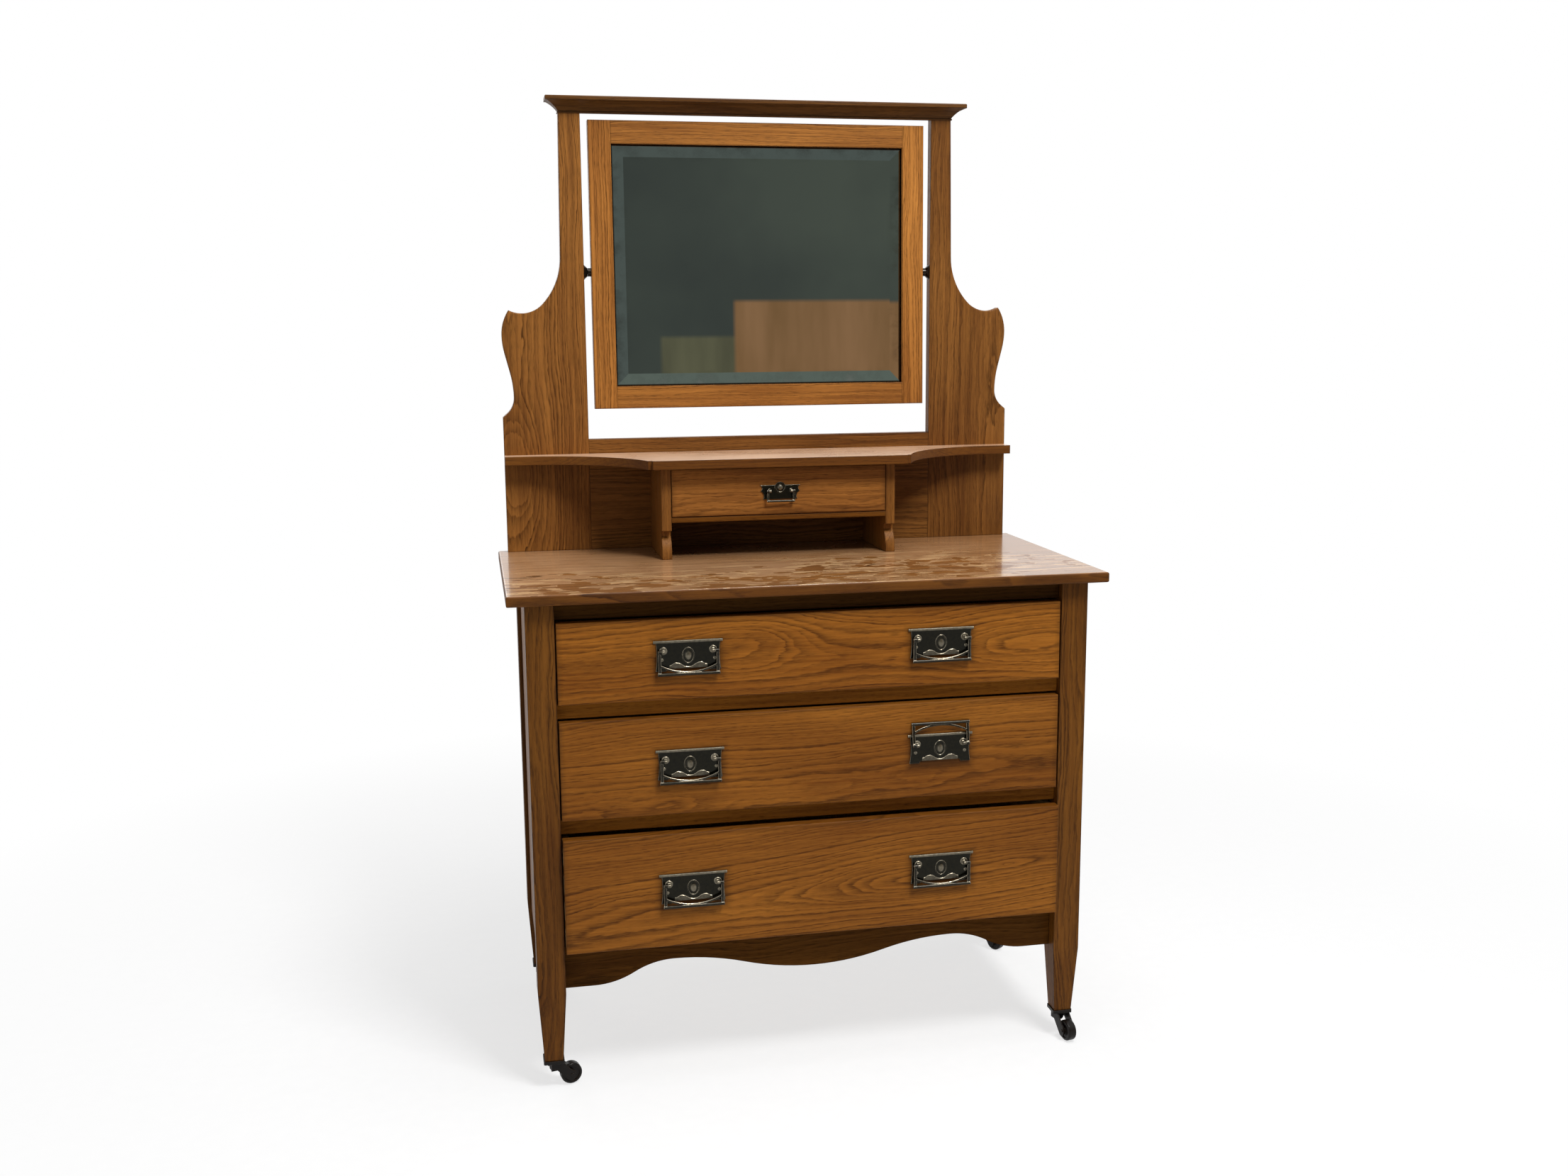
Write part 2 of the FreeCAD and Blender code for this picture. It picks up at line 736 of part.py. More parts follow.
def bail_frame(eye_x, width, arm_width, axis_z, reach, grip_half, grip_radius):
    """Eyes, flat arms and a round grip in one piece."""
    y = -hinge_stand
    eye_out = eye_x + width
    grip = bar_x(-grip_half, grip_half, y, axis_z - reach, grip_radius)
    eye = bar_x(eye_x, eye_out, y, axis_z, eye_radius)
    arm = block(eye_out - arm_width, eye_out, y - bail_thickness / 2, y + bail_thickness / 2,
                axis_z - reach, axis_z)
    return grip.fuse([eye, arm, mirrored(eye), mirrored(arm)])


def with_pin_holes(frame, axis_z, half):
    return frame.removeSplitter().cut(
        bar_x(-half, half, -hinge_stand, axis_z, bail_pin_radius + pin_clearance))


def make_bail(lift):
    """A bail that hangs down at lift 0 and stands up past 90."""
    eye_x = ear_half + ear_width / 2 + eye_side_gap
    frame = bail_frame(eye_x, eye_width, bail_arm_width, hinge_rise, bail_reach,
                       bail_grip_half, bail_grip_radius)
    rib = make_rib(eye_x + eye_width - bail_arm_width / 2, hinge_rise - bail_reach + bail_rib_gap)
    bail = with_pin_holes(frame.fuse(rib), hinge_rise, lip_half)
    bail.rotate(Vector(0, -hinge_stand, hinge_rise), Vector(-1, 0, 0), lift)
    return bail


def make_small_plate():
    """The trinket pull's plate: level top and foot, ends with two scallops, and a round boss."""
    top = Vector(small_plate_half, 0, small_plate_top)
    cusp = Vector(small_cusp_half, 0, small_cusp_z)
    foot = Vector(small_foot_half, 0, small_plate_bottom)
    inward = Vector(-small_scallop, 0, 0)
    side = [arc(top, (top + cusp) * 0.5 + inward, cusp),
            arc(cusp, (cusp + foot) * 0.5 + inward, foot),
            line(foot, Vector(0, 0, small_plate_bottom))]
    plate = closed_plate(side, small_plate_half, small_plate_top)
    base = disc(0, small_boss_rise, small_boss_radius, plate_thickness)
    boss = make_boss(small_boss_radius, small_boss_radius, small_boss_ring)
    pieces = [base] + [moved(piece, 0, 0, small_boss_rise) for piece in boss]
    pin_to = small_ear_half + ear_width / 2 + eye_side_gap + small_eye_width
    for side in (-1, 1):
        pieces += make_ear(side * small_ear_half, small_hinge_rise, ear_width, side * pin_to)
    return plate.fuse(pieces).removeSplitter()


def make_small_bail():
    eye_x = small_ear_half + ear_width / 2 + eye_side_gap
    frame = bail_frame(eye_x, small_eye_width, small_eye_width, small_hinge_rise,
                       small_bail_reach, small_grip_half, small_grip_radius)
    return with_pin_holes(frame, small_hinge_rise, small_plate_half)


# ---------------------------------------------------------------- superstructure

def wing_outline(x, z):
    """The outer edge of the right-hand upright, from the foot of its neck to its base corner."""
    path = Outline(x, upright_front, z, 270)
    path.bend(sweep_radius, sweep_angle)
    path.bend(throat_radius, throat_angle)
    path.heading = wing_heading
    path.bend(wing_radius, -wing_angle)
    path.bend(flank_radius, -flank_angle)
    path.run(flank_run)
    path.bend(hollow_radius, hollow_angle)
    path.bend(toe_radius, toe_angle)
    path.run(toe_run)
    return path


# The wing is drawn once to learn its extent, so that its base corner lands at base_half.
wing_extent = wing_outline(0, 0).point
base_half = top_width / 2 - upright_inset
neck_foot_x = base_half - wing_extent.x
neck_foot_z = top_z + base_edge_height - wing_extent.z
opening_half = neck_foot_x - neck_spread - neck_width
mirror_width = 2 * (opening_half - mirror_side_gap)


def make_upright():
    wing = wing_outline(neck_foot_x, neck_foot_z)
    edges = list(wing.edges)
    corners = [wing.point, Vector(base_half, upright_front, top_z),
               Vector(opening_half, upright_front, top_z),
               Vector(opening_half, upright_front, upright_top),
               Vector(opening_half + neck_width, upright_front, upright_top),
               Vector(neck_foot_x, upright_front, neck_foot_z)]
    edges += [line(a, b) for a, b in zip(corners, corners[1:])]
    board = solid_from(edges, Vector(0, upright_thickness, 0))
    shelf_band = (shelf_under - 1, shelf_z + 1)
    return rounded(board, upright_edge_round,
                   lambda p, e: abs(p.y - upright_front) < 0.01 and p.x > opening_half + 1
                   and p.z > top_z + upright_board_height and p.z < upright_top - 1
                   and not shelf_band[0] < p.z < shelf_band[1])


def make_upright_board():
    return block(-opening_half, opening_half, upright_front, back_y,
                 top_z, top_z + upright_board_height)


def cornice_profile(place):
    """Bead, cove and band of the moulding, bottom to top, and its two ends.

    place turns a projection and a height above the uprights into a point.
    """
    cove_top = cornice_height - cornice_band
    hollow_end = cornice_projection - cornice_lip
    cove_height = cove_top - cornice_bead
    chord = math.hypot(hollow_end, cove_height)
    hollow = place(hollow_end / 2 - cornice_hollow * cove_height / chord,
                   cornice_bead + cove_height / 2 + cornice_hollow * hollow_end / chord)
    round_in = cornice_edge_round * (1 - math.sqrt(0.5))
    start = place(0, 0)
    bead_end = place(0, cornice_bead)
    cove_end = place(hollow_end, cove_top)
    band_low = place(cornice_projection, cove_top)
    band_high = place(cornice_projection, cornice_height - cornice_edge_round)
    end = place(cornice_projection - cornice_edge_round, cornice_height)
    edges = [arc(start, place(cornice_bead / 2, cornice_bead / 2), bead_end),
             arc(bead_end, hollow, cove_end),
             line(cove_end, band_low),
             line(band_low, band_high),
             arc(band_high, place(cornice_projection - round_in, cornice_height - round_in), end)]
    return edges, start, end


def make_cornice():
    """The moulding mitred round the front and both ends: two crossed extrusions.

    Its back is hollow between the uprights.
    """
    half = opening_half + neck_width
    reach = cornice_projection + 1
    start_y = upright_front - reach

    def end_profile(side):
        return cornice_profile(lambda p, z: Vector(side * (half + p), start_y, upright_top + z))

    right, right_low, right_top = end_profile(1)
    left, left_low, left_top = end_profile(-1)
    outline = right + [line(right_top, left_top)] + left + [line(left_low, right_low)]
    along_y = solid_from(Part.__sortEdges__(outline), Vector(0, back_y - start_y, 0))
    front, front_low, front_top = cornice_profile(
        lambda p, z: Vector(-half - reach, upright_front - p, upright_top + z))
    rear_low = Vector(-half - reach, back_y, upright_top)
    rear_top = Vector(-half - reach, back_y, upright_top + cornice_height)
    section = front + [line(front_top, rear_top), line(rear_top, rear_low),
                       line(rear_low, front_low)]
    along_x = solid_from(section, Vector(2 * (half + reach), 0, 0))
    hollow = block(-opening_half, opening_half, upright_front + cornice_wall, back_y,
                   upright_top, upright_top + cornice_height - cornice_board)
    return along_y.common(along_x).cut(hollow)


def make_shelf():
    """The shelf: shallow at its ends, swept forward to a straight middle."""
    z = shelf_under
    end_y = upright_front - shelf_end_depth
    middle_y = upright_front - shelf_middle_depth
    middle = shelf_middle_width / 2
    start = Vector(base_half - shelf_curve_end, end_y, z)
    stop = Vector(middle + shelf_nick, middle_y + shelf_nick, z)
    chord = stop - start
    across = Vector(-chord.y, chord.x, 0).normalize()
    if across.y < 0:
        across = across * -1
    bulge = (start + stop) * 0.5 + across * shelf_curve_sag
    right = [line(Vector(base_half, upright_front, z), Vector(base_half, end_y, z)),
             line(Vector(base_half, end_y, z), start),
             arc(start, bulge, stop),
             line(stop, Vector(middle, middle_y + shelf_nick, z)),
             line(Vector(middle, middle_y + shelf_nick, z), Vector(middle, middle_y, z))]
    left = [mirrored(edge) for edge in reversed(right)]
    front = line(Vector(middle, middle_y, z), Vector(-middle, middle_y, z))
    back = line(Vector(-base_half, upright_front, z), Vector(base_half, upright_front, z))
    board = solid_from(Part.__sortEdges__(right + [front] + left + [back]),
                       Vector(0, 0, shelf_thickness))
    return board


def make_bracket():
    """One shaped end under the shelf: a square shoulder, a notch and a quarter-round foot."""
    x = bracket_inner
    y0, y1 = bracket_front, upright_front
    shoulder = top_z + bracket_shoulder
    notch = shoulder - bracket_notch
    inner_y = y0 + bracket_notch_depth
    foot_height = notch - top_z
    swell = Vector(x, inner_y - bracket_notch_depth * math.sin(math.radians(50)),
                   top_z + foot_height * math.cos(math.radians(50)))
    points = [Vector(x, y0, top_z), Vector(x, y1, top_z), Vector(x, y1, shelf_under),
              Vector(x, y0, shelf_under), Vector(x, y0, shoulder), Vector(x, inner_y, shoulder),
              Vector(x, inner_y, notch)]
    edges = [line(a, b) for a, b in zip(points, points[1:])]
    edges.append(arc(points[-1], swell, points[0]))
    return solid_from(edges, Vector(bracket_thickness, 0, 0))


def make_trinket_floor():
    return block(-bracket_inner, bracket_inner, bracket_front, upright_front,
                 trinket_floor_z - trinket_floor_thickness, trinket_floor_z)


def build_trinket_drawer():
    z0 = trinket_floor_z + gap_below_front
    height = shelf_under - trinket_gap_above - z0
    half = bracket_inner - trinket_gap
    front_y = bracket_front - trinket_front_proud
    bottom_z = trinket_floor_z + runner_clearance + trinket_bottom_height
    front, box, bottom = drawer_case(
        half, front_y, trinket_front_thickness, z0, height, trinket_wall, front_lap,
        trinket_tails, upright_front - trinket_rear_clearance, bottom_z,
        trinket_bottom_thickness, trinket_bottom_groove)
    export("trinket_front", front)
    export("trinket_box", box)
    export("trinket_bottom", bottom)
    pull_z = z0 + height / 2 + trinket_pull_rise
    export("trinket_plate", moved(make_small_plate(), 0, front_y, pull_z))
    export("trinket_bail", moved(make_small_bail(), 0, front_y, pull_z))


def build_superstructure():
    upright = make_upright()
    export("upright_right", upright)
    export("upright_left", mirrored(upright))
    export("upright_board", make_upright_board())
    export("cornice", make_cornice())
    export("shelf", make_shelf())
    export("shelf_bracket_right", make_bracket())
    export("shelf_bracket_left", mirrored(make_bracket()))
    export("trinket_floor", make_trinket_floor())
    build_trinket_drawer()


# ---------------------------------------------------------------- swing mirror

def lean(shape):
    """Tips a piece of the mirror back about its pivots."""
    copy = shape.copy()
    copy.rotate(Vector(0, pivot_y, pivot_z), Vector(1, 0, 0), -mirror_lean)
    return copy


def mirror_rebate():
    half = mirror_width / 2 - mirror_frame + glass_rebate
    return block(-half, half, mirror_front + glass_set_back, mirror_front + mirror_thickness,
                 mirror_top - mirror_height + mirror_frame - glass_rebate,
                 mirror_top - mirror_frame + glass_rebate)


def make_stile():
    outer = mirror_width / 2
    low = mirror_top - mirror_height
    stile = block(outer - mirror_frame, outer, mirror_front, mirror_front + mirror_thickness,
                  low, mirror_top)
    stile = rounded(stile, mirror_edge_round,
                    lambda p, e: abs(p.y - mirror_front) < 0.01 and
                    (abs(p.x - outer) < 0.01 or p.z > mirror_top - 0.01 or p.z < low + 0.01))
    socket = bar_x(outer - pivot_pin_entry, outer + 1, pivot_y, pivot_z,
                   pivot_pin_radius + pin_clearance)
    return stile.cut(mirror_rebate()).cut(socket)


def make_mirror_rails():
    half = mirror_width / 2 - mirror_frame
    rails = []
    for z0 in (mirror_top - mirror_frame, mirror_top - mirror_height):
        rail = block(-half, half, mirror_front, mirror_front + mirror_thickness,
                     z0, z0 + mirror_frame)
        edge_z = mirror_top if z0 > mirror_middle else z0
        rail = rounded(rail, mirror_edge_round,
                       lambda p, e, q=edge_z: abs(p.y - mirror_front) < 0.01
                       and abs(p.z - q) < 0.01)
        rails.append(rail.cut(mirror_rebate()))
    return rails


def make_glass():
    """Plate glass with a wide bevel ground round its face."""
    half = mirror_width / 2 - mirror_frame + glass_rebate - 0.5
    low = mirror_top - mirror_height + mirror_frame - glass_rebate + 0.5
    high = mirror_top - mirror_frame + glass_rebate - 0.5
    face = mirror_front + glass_set_back
    edge = glass_bevel_width + glass_rebate
    ground = polygon_edges([Vector(-half, face + glass_bevel_depth, low),
                            Vector(half, face + glass_bevel_depth, low),
                            Vector(half, face + glass_bevel_depth, high),
                            Vector(-half, face + glass_bevel_depth, high)])
    flat = polygon_edges([Vector(-half + edge, face, low + edge),
                          Vector(half - edge, face, low + edge),
                          Vector(half - edge, face, high - edge),
                          Vector(-half + edge, face, high - edge)])
    bevel = Part.makeLoft([Part.Wire(flat), Part.Wire(ground)], True, True)
    plate = block(-half, half, face + glass_bevel_depth, face + glass_thickness, low, high)
    return plate.fuse(bevel).removeSplitter()


def make_backboard():
    half = mirror_width / 2 - mirror_frame + glass_rebate
    front = mirror_front + glass_set_back + glass_thickness
    return block(-half, half, front, front + backboard_thickness,
                 mirror_top - mirror_height + mirror_frame - glass_rebate,
                 mirror_top - mirror_frame + glass_rebate)


def make_pivot():
    """A flattened cone on the upright with the pin that the mirror swings on."""
    tip = opening_half - pivot_cone_length
    cone = Part.makeCone(pivot_cone_tip, pivot_cone_base, pivot_cone_length,
                         Vector(tip, pivot_y, pivot_z), Vector(1, 0, 0))
    slab = block(tip, opening_half, pivot_y - upright_thickness / 2 + 0.5,
                 pivot_y + upright_thickness / 2 - 0.5,
                 pivot_z - pivot_cone_base, pivot_z + pivot_cone_base)
    pin = bar_x(mirror_width / 2 - pivot_pin_entry + 0.5, opening_half - 1, pivot_y, pivot_z,
                pivot_pin_radius)
    return cone.common(slab).fuse(pin).removeSplitter()


def make_collar():
    outer = mirror_width / 2
    end = opening_half - pivot_cone_length - collar_end_gap
    ring = bar_x(outer, end, pivot_y, pivot_z, pivot_cone_tip)
    return ring.cut(bar_x(outer - 1, end + 1, pivot_y, pivot_z, pivot_pin_radius + pin_clearance))


def build_mirror():
    stile = make_stile()
    export("mirror_stiles", group([lean(stile), lean(mirrored(stile))]))
    export("mirror_rails", group([lean(rail) for rail in make_mirror_rails()]))
    export("mirror_glass", lean(make_glass()))
    export("mirror_backboard", lean(make_backboard()))
    pivot = make_pivot()
    export("mirror_pivots", group([pivot, mirrored(pivot)]))
    collar = make_collar()
    export("mirror_collars", group([collar, mirrored(collar)]))


# ---------------------------------------------------------------- castors
# A castor is drawn under the origin, its wheel trailing along +X.

def make_castor_plate():
    size = castor_plate_size / 2
    low = castor_height - castor_plate_thickness
    plate = block(-size, size, -size, size, low, castor_height)
    plate = rounded(plate, castor_plate_round, lambda p, e: abs(p.z - (low + castor_height) / 2) < 1)
    pin_end = low - swivel_collar_height - 2 * swivel_gap
    pin = post_z(0, 0, pin_end, low, swivel_pin_radius)
    head = post_z(0, 0, pin_end - swivel_head_height, pin_end, swivel_head_radius)
    return plate.fuse([pin, head]).removeSplitter()


def make_cheek(y0, y1):
    """One side of the horn: a leaf from the collar down past the axle.

    Its back edge runs from the collar's foot straight to the round corner below the axle.
    """
    top = castor_height - castor_plate_thickness - swivel_gap
    low = top - swivel_collar_height
    r = fork_boss_radius
    axle = Vector(castor_trail, y0, wheel_z)
    foot = Vector(fork_foot, y0, low)
    away = foot - axle
    bearing = math.atan2(away.z, away.x) + math.acos(r / away.Length)

    def round_axle(angle):
        return axle + Vector(math.cos(angle), 0, math.sin(angle)) * r

    touch = round_axle(bearing)
    under = round_axle(-math.pi / 2)
    nose = axle + Vector(fork_nose, 0, 0)
    crown = axle + Vector(-fork_foot, 0, r)
    between = round_axle((bearing + math.pi * 1.5) / 2)
    corners = [crown, Vector(fork_shoulder, y0, top), Vector(-swivel_collar_foot, y0, top),
               Vector(-swivel_collar_foot, y0, low), foot, touch]
    edges = [line(a, b) for a, b in zip(corners, corners[1:])]
    edges += [arc(touch, between, under), arc(under, nose, crown)]
    return solid_from(edges, Vector(0, y1 - y0, 0))


def make_horn():
    """Swivel collar, two cheeks joined over the wheel, and the riveted axle."""
    top = castor_height - castor_plate_thickness - swivel_gap
    low = top - swivel_collar_height
    inner = wheel_width / 2 + wheel_hub_proud + fork_gap
    outer = inner + fork_thickness
    collar = Part.makeCone(swivel_collar_foot, swivel_collar_radius, swivel_collar_height,
                           Vector(0, 0, low))
    bridge = block(-swivel_collar_foot, fork_shoulder, -outer, outer, top - fork_bridge, top)
    axle = Part.makeCylinder(axle_radius, 2 * (outer + axle_head),
                             Vector(castor_trail, -outer - axle_head, wheel_z), Vector(0, 1, 0))
    horn = collar.fuse([bridge, make_cheek(inner, outer), make_cheek(-outer, -inner), axle])
    hole = post_z(0, 0, low - 1, top + 1, swivel_pin_radius + pin_clearance)
    return horn.removeSplitter().cut(hole)


def make_wheel():
    """A dished wheel with a rounded tread, turned about its axle."""
    half = wheel_width / 2
    hub = wheel_hub_radius
    rim = wheel_radius - wheel_rim
    bore = axle_radius + pin_clearance
    hub_face = half + wheel_hub_proud
    dish = half - wheel_dish
    shade = wheel_round * (1 - math.sqrt(0.5))

    def at(radius, width):
        return Vector(castor_trail + radius, width, wheel_z)

    edges = [line(at(bore, -hub_face), at(bore, hub_face)), line(at(bore, hub_face), at(hub, hub_face)),
             line(at(hub, hub_face), at(hub, dish)), line(at(hub, dish), at(rim, dish)),
             line(at(rim, dish), at(rim, half)),
             line(at(rim, half), at(wheel_radius - wheel_round, half)),
             arc(at(wheel_radius - wheel_round, half), at(wheel_radius - shade, half - shade),
                 at(wheel_radius, half - wheel_round)),
             line(at(wheel_radius, half - wheel_round), at(wheel_radius, -half + wheel_round)),
             arc(at(wheel_radius, -half + wheel_round), at(wheel_radius - shade, -half + shade),
                 at(wheel_radius - wheel_round, -half)),
             line(at(wheel_radius - wheel_round, -half), at(rim, -half)),
             line(at(rim, -half), at(rim, -dish)), line(at(rim, -dish), at(hub, -dish)),
             line(at(hub, -dish), at(hub, -hub_face)), line(at(hub, -hub_face), at(bore, -hub_face))]
    face = Part.Face(Part.Wire(edges))
    return face.revolve(Vector(castor_trail, 0, wheel_z), Vector(0, 1, 0), 360)


def build_castors():
    places = {"front_left": (-foot_centre, front_foot_y), "front_right": (foot_centre, front_foot_y),
              "rear_left": (-foot_centre, rear_foot_y), "rear_right": (foot_centre, rear_foot_y)}
    plates = []
    for name, (x, y) in places.items():
        plates.append(moved(make_castor_plate(), x, y, 0))
        for word, piece in (("horn_", make_horn()), ("wheel_", make_wheel())):
            piece.rotate(Vector(0, 0, 0), Vector(0, 0, 1), castor_angles[name])
            export(word + name, moved(piece, x, y, 0))
    export("castor_plates", group(plates))


os.makedirs("parts", exist_ok=True)
build_carcase()
build_long_drawers()
build_superstructure()
build_mirror()
build_castors()
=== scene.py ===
# %% [markdown]
# # An oak dressing chest with a swing mirror
#
# The chest comes from CAD as a fixed frame: boards, drawers, pulls, mirror and castors already
# have their true shapes and places, in metres, with +Z up and the front towards -Y. This lesson
# gives them their looks. Oak is drawn from the way a tree grows, brass and iron from how they
# wear, and the screws that hold the thin boards at the back are added last.

import math

import bmesh
import bpy
import numpy as np
from mathutils import Euler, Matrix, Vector


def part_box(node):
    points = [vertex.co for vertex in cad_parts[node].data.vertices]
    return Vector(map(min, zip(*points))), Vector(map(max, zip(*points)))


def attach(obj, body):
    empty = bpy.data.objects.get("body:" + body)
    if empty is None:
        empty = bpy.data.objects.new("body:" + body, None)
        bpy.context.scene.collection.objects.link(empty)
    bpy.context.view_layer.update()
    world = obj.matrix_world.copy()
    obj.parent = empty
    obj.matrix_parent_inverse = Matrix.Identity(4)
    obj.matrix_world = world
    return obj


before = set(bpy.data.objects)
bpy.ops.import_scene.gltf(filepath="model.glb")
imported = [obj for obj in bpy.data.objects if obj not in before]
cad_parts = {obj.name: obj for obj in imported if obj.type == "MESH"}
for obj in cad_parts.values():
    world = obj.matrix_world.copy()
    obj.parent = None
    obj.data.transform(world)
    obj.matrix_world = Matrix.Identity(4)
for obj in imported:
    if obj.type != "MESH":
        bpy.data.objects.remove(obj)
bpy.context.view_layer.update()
MM = 0.001

# %% [markdown]
# ## Wiring nodes by name
#
# A material in Blender is a small network of nodes. Making each node and each link by hand takes
# three lines, so this helper makes a node, fills its inputs with numbers or with other nodes'
# outputs, and hands back the output. Every finish below is then a short list of steps.

# %% A helper for node trees
class Wiring:
    """Makes nodes in one tree. A value may be a number, a tuple or another node's output."""

    def __init__(self, tree):
        self.tree = tree

    def feed(self, socket, value):
        if isinstance(value, bpy.types.NodeSocket):
            self.tree.links.new(value, socket)
        else:
            socket.default_value = value

    def node(self, kind, inputs=None, **settings):
        made = self.tree.nodes.new(kind)
        for key, value in settings.items():
            setattr(made, key, value)
        for key, value in (inputs or {}).items():
            self.feed(made.inputs[key], value)
        return made

    def math(self, operation, *values, clamp=False):
        made = self.node("ShaderNodeMath", dict(enumerate(values)), operation=operation)
        made.use_clamp = clamp
        return made.outputs[0]

    def vector(self, operation, *values):
        made = self.node("ShaderNodeVectorMath", dict(enumerate(values)), operation=operation)
        return made.outputs["Value" if operation in ("DOT_PRODUCT", "LENGTH") else "Vector"]

    def scaled(self, vector, factor):
        made = self.node("ShaderNodeVectorMath", {"Vector": vector, "Scale": factor},
                         operation="SCALE")
        return made.outputs["Vector"]

    def parts(self, vector):
        return self.node("ShaderNodeSeparateXYZ", {0: vector}).outputs

    def joined(self, x, y, z):
        return self.node("ShaderNodeCombineXYZ", {0: x, 1: y, 2: z}).outputs[0]

    def mix(self, factor, a, b):
        """Colour a where the factor is zero, colour b where it is one."""
        made = self.node("ShaderNodeMix", data_type="RGBA")
        for index, value in ((0, factor), (6, a), (7, b)):
            self.feed(made.inputs[index], value)
        return made.outputs[2]

    def noise(self, vector, scale=1.0, detail=2.0, rough=0.5):
        return self.node("ShaderNodeTexNoise", {"Vector": vector, "Scale": scale,
                                                "Detail": detail, "Roughness": rough}).outputs

    def spread(self, value, low, high, to_low=0.0, to_high=1.0):
        """Maps low..high onto to_low..to_high, with no overshoot."""
        made = self.node("ShaderNodeMapRange", dict(enumerate((value, low, high, to_low, to_high))))
        made.clamp = True
        return made.outputs[0]


def new_group(name, inputs, outputs):
    """A shader node group: returns its tree, wiring, inner inputs and inner outputs."""
    tree = bpy.data.node_groups.new(name, "ShaderNodeTree")
    for label, kind, default in inputs:
        socket = tree.interface.new_socket(label, in_out="INPUT", socket_type="NodeSocket" + kind)
        if default is not None:
            socket.default_value = default
    for label, kind in outputs:
        tree.interface.new_socket(label, in_out="OUTPUT", socket_type="NodeSocket" + kind)
    wires = Wiring(tree)
    return tree, wires, wires.node("NodeGroupInput").outputs, wires.node("NodeGroupOutput").inputs

# %% [markdown]
# ## Oak, from growth rings
#
# Oak's figure is a cut through a tree's growth rings. So the shader keeps the tree: each board
# has an invisible heart line (the pith) running along its grain at some depth behind its face,
# and the ring at a point is its distance from that line. A board sawn far from the heart shows
# straight lines. Where the heart line slopes towards the face, the rings are cut into the
# pointed arches that joiners call cathedrals, and where it drifts sideways, the lines run out at
# an edge. Good and bad years make the rings uneven, slow noise bends the tree, and each ring has
# its own strength. Its dark part is a band of open pores, so it is drawn in short dashes.

# %% Group: the figure of a board
SEED_STEPS = (3.71, 5.13, 1.97)         # how far a seed moves the board through each noise
RIPPLE, FEATHER = 7.5 * MM, 1.6 * MM    # how far the rings wave, in the large and in the small
SEASON_PACE, SEASON_SWING = 0.4, 3.0    # good and bad years: how often, and by how many rings
RING_RISE, RING_FADE = 0.12, 1.8        # share of a ring that darkens, and how fast it pales
figure, w, inp, out = new_group(
    "oak_figure",
    [("Vector", "Vector", None), ("Seed", "Float", 0.0), ("Pith Depth", "Float", 0.06),
     ("Pith Offset", "Float", 0.0), ("Slope", "Float", 0.0), ("Drift", "Float", 0.0),
     ("Ring Spacing", "Float", 0.005), ("Wander", "Float", 0.03)],
    [("Rings", "Float"), ("Pores", "Float"), ("Streaks", "Float"), ("Tone", "Float")])
start = w.joined(*(w.math("MULTIPLY", inp["Seed"], step) for step in SEED_STEPS))


def along_grain(lengthwise, across):
    """The board's own coordinates stretched along the grain, from a place set by the seed."""
    return w.vector("MULTIPLY_ADD", inp["Vector"], (lengthwise, across, across), start)


def centred_noise(lengthwise, across, detail):
    """Three independent noises in -0.5 to 0.5, stretched along the grain."""
    return w.vector("SUBTRACT", w.noise(along_grain(lengthwise, across), 1.0, detail)["Color"],
                    (0.5, 0.5, 0.5))


bend = w.scaled(centred_noise(3.0, 6.0, 1.0), inp["Wander"])
ripple = w.scaled(centred_noise(14.0, 50.0, 2.0), RIPPLE)
feather = w.scaled(centred_noise(60.0, 420.0, 1.0), FEATHER)
place = w.parts(w.vector("ADD", w.vector("ADD", inp["Vector"], bend),
                         w.vector("ADD", ripple, feather)))
depth = w.math("ADD", w.math("MULTIPLY_ADD", place[0], inp["Slope"], place[1]), inp["Pith Depth"])
side = w.math("ADD", w.math("MULTIPLY_ADD", place[0], inp["Drift"], place[2]), inp["Pith Offset"])
radius = w.math("SQRT", w.math("ADD", w.math("MULTIPLY", depth, depth),
                               w.math("MULTIPLY", side, side)))
years = w.math("DIVIDE", radius, inp["Ring Spacing"])
seasons = w.node("ShaderNodeTexNoise", {"W": w.math("ADD", years, inp["Seed"]),
                                        "Scale": SEASON_PACE, "Detail": 1.0},
                 noise_dimensions="1D").outputs["Fac"]
turns = w.math("MULTIPLY_ADD", seasons, SEASON_SWING, years)
cycle = w.math("FRACT", turns)
own = w.node("ShaderNodeTexWhiteNoise", {"W": w.math("ADD", w.math("FLOOR", turns), inp["Seed"])},
             noise_dimensions="1D").outputs["Value"]
fade = w.math("MULTIPLY", w.math("POWER", w.math("SUBTRACT", 1.0, cycle), RING_FADE),
              w.spread(cycle, 0.0, RING_RISE))
dashes = w.spread(w.noise(along_grain(45.0, 900.0), 1.0, 1.0)["Fac"], 0.36, 0.56)
line = w.math("MULTIPLY", w.math("MULTIPLY", fade, w.spread(own, 0.0, 1.0, 0.35, 1.25)),
              w.math("MULTIPLY_ADD", dashes, 0.5, 0.5), clamp=True)
specks = w.spread(w.noise(along_grain(70.0, 1500.0), 1.0, 1.0)["Fac"], 0.54, 0.64)
w.feed(out["Rings"], line)
w.feed(out["Pores"], w.math("MULTIPLY", specks, w.spread(fade, 0.0, 0.6, 0.35, 1.0)))
w.feed(out["Streaks"], w.spread(w.noise(along_grain(6.0, 260.0), 1.0, 3.0)["Fac"], 0.32, 0.68))
w.feed(out["Tone"], w.spread(w.noise(along_grain(2.5, 9.0), 1.0, 2.0)["Fac"], 0.32, 0.68))
print("oak_figure:", len(figure.nodes), "nodes")

# %% [markdown]
# ## Where a branch grew
#
# Next to a branch the rings swell, and the board shows a bulge or an eye there. A smooth hill of
# extra depth, highest at the branch, does this: the rings then bend round the hill by themselves.

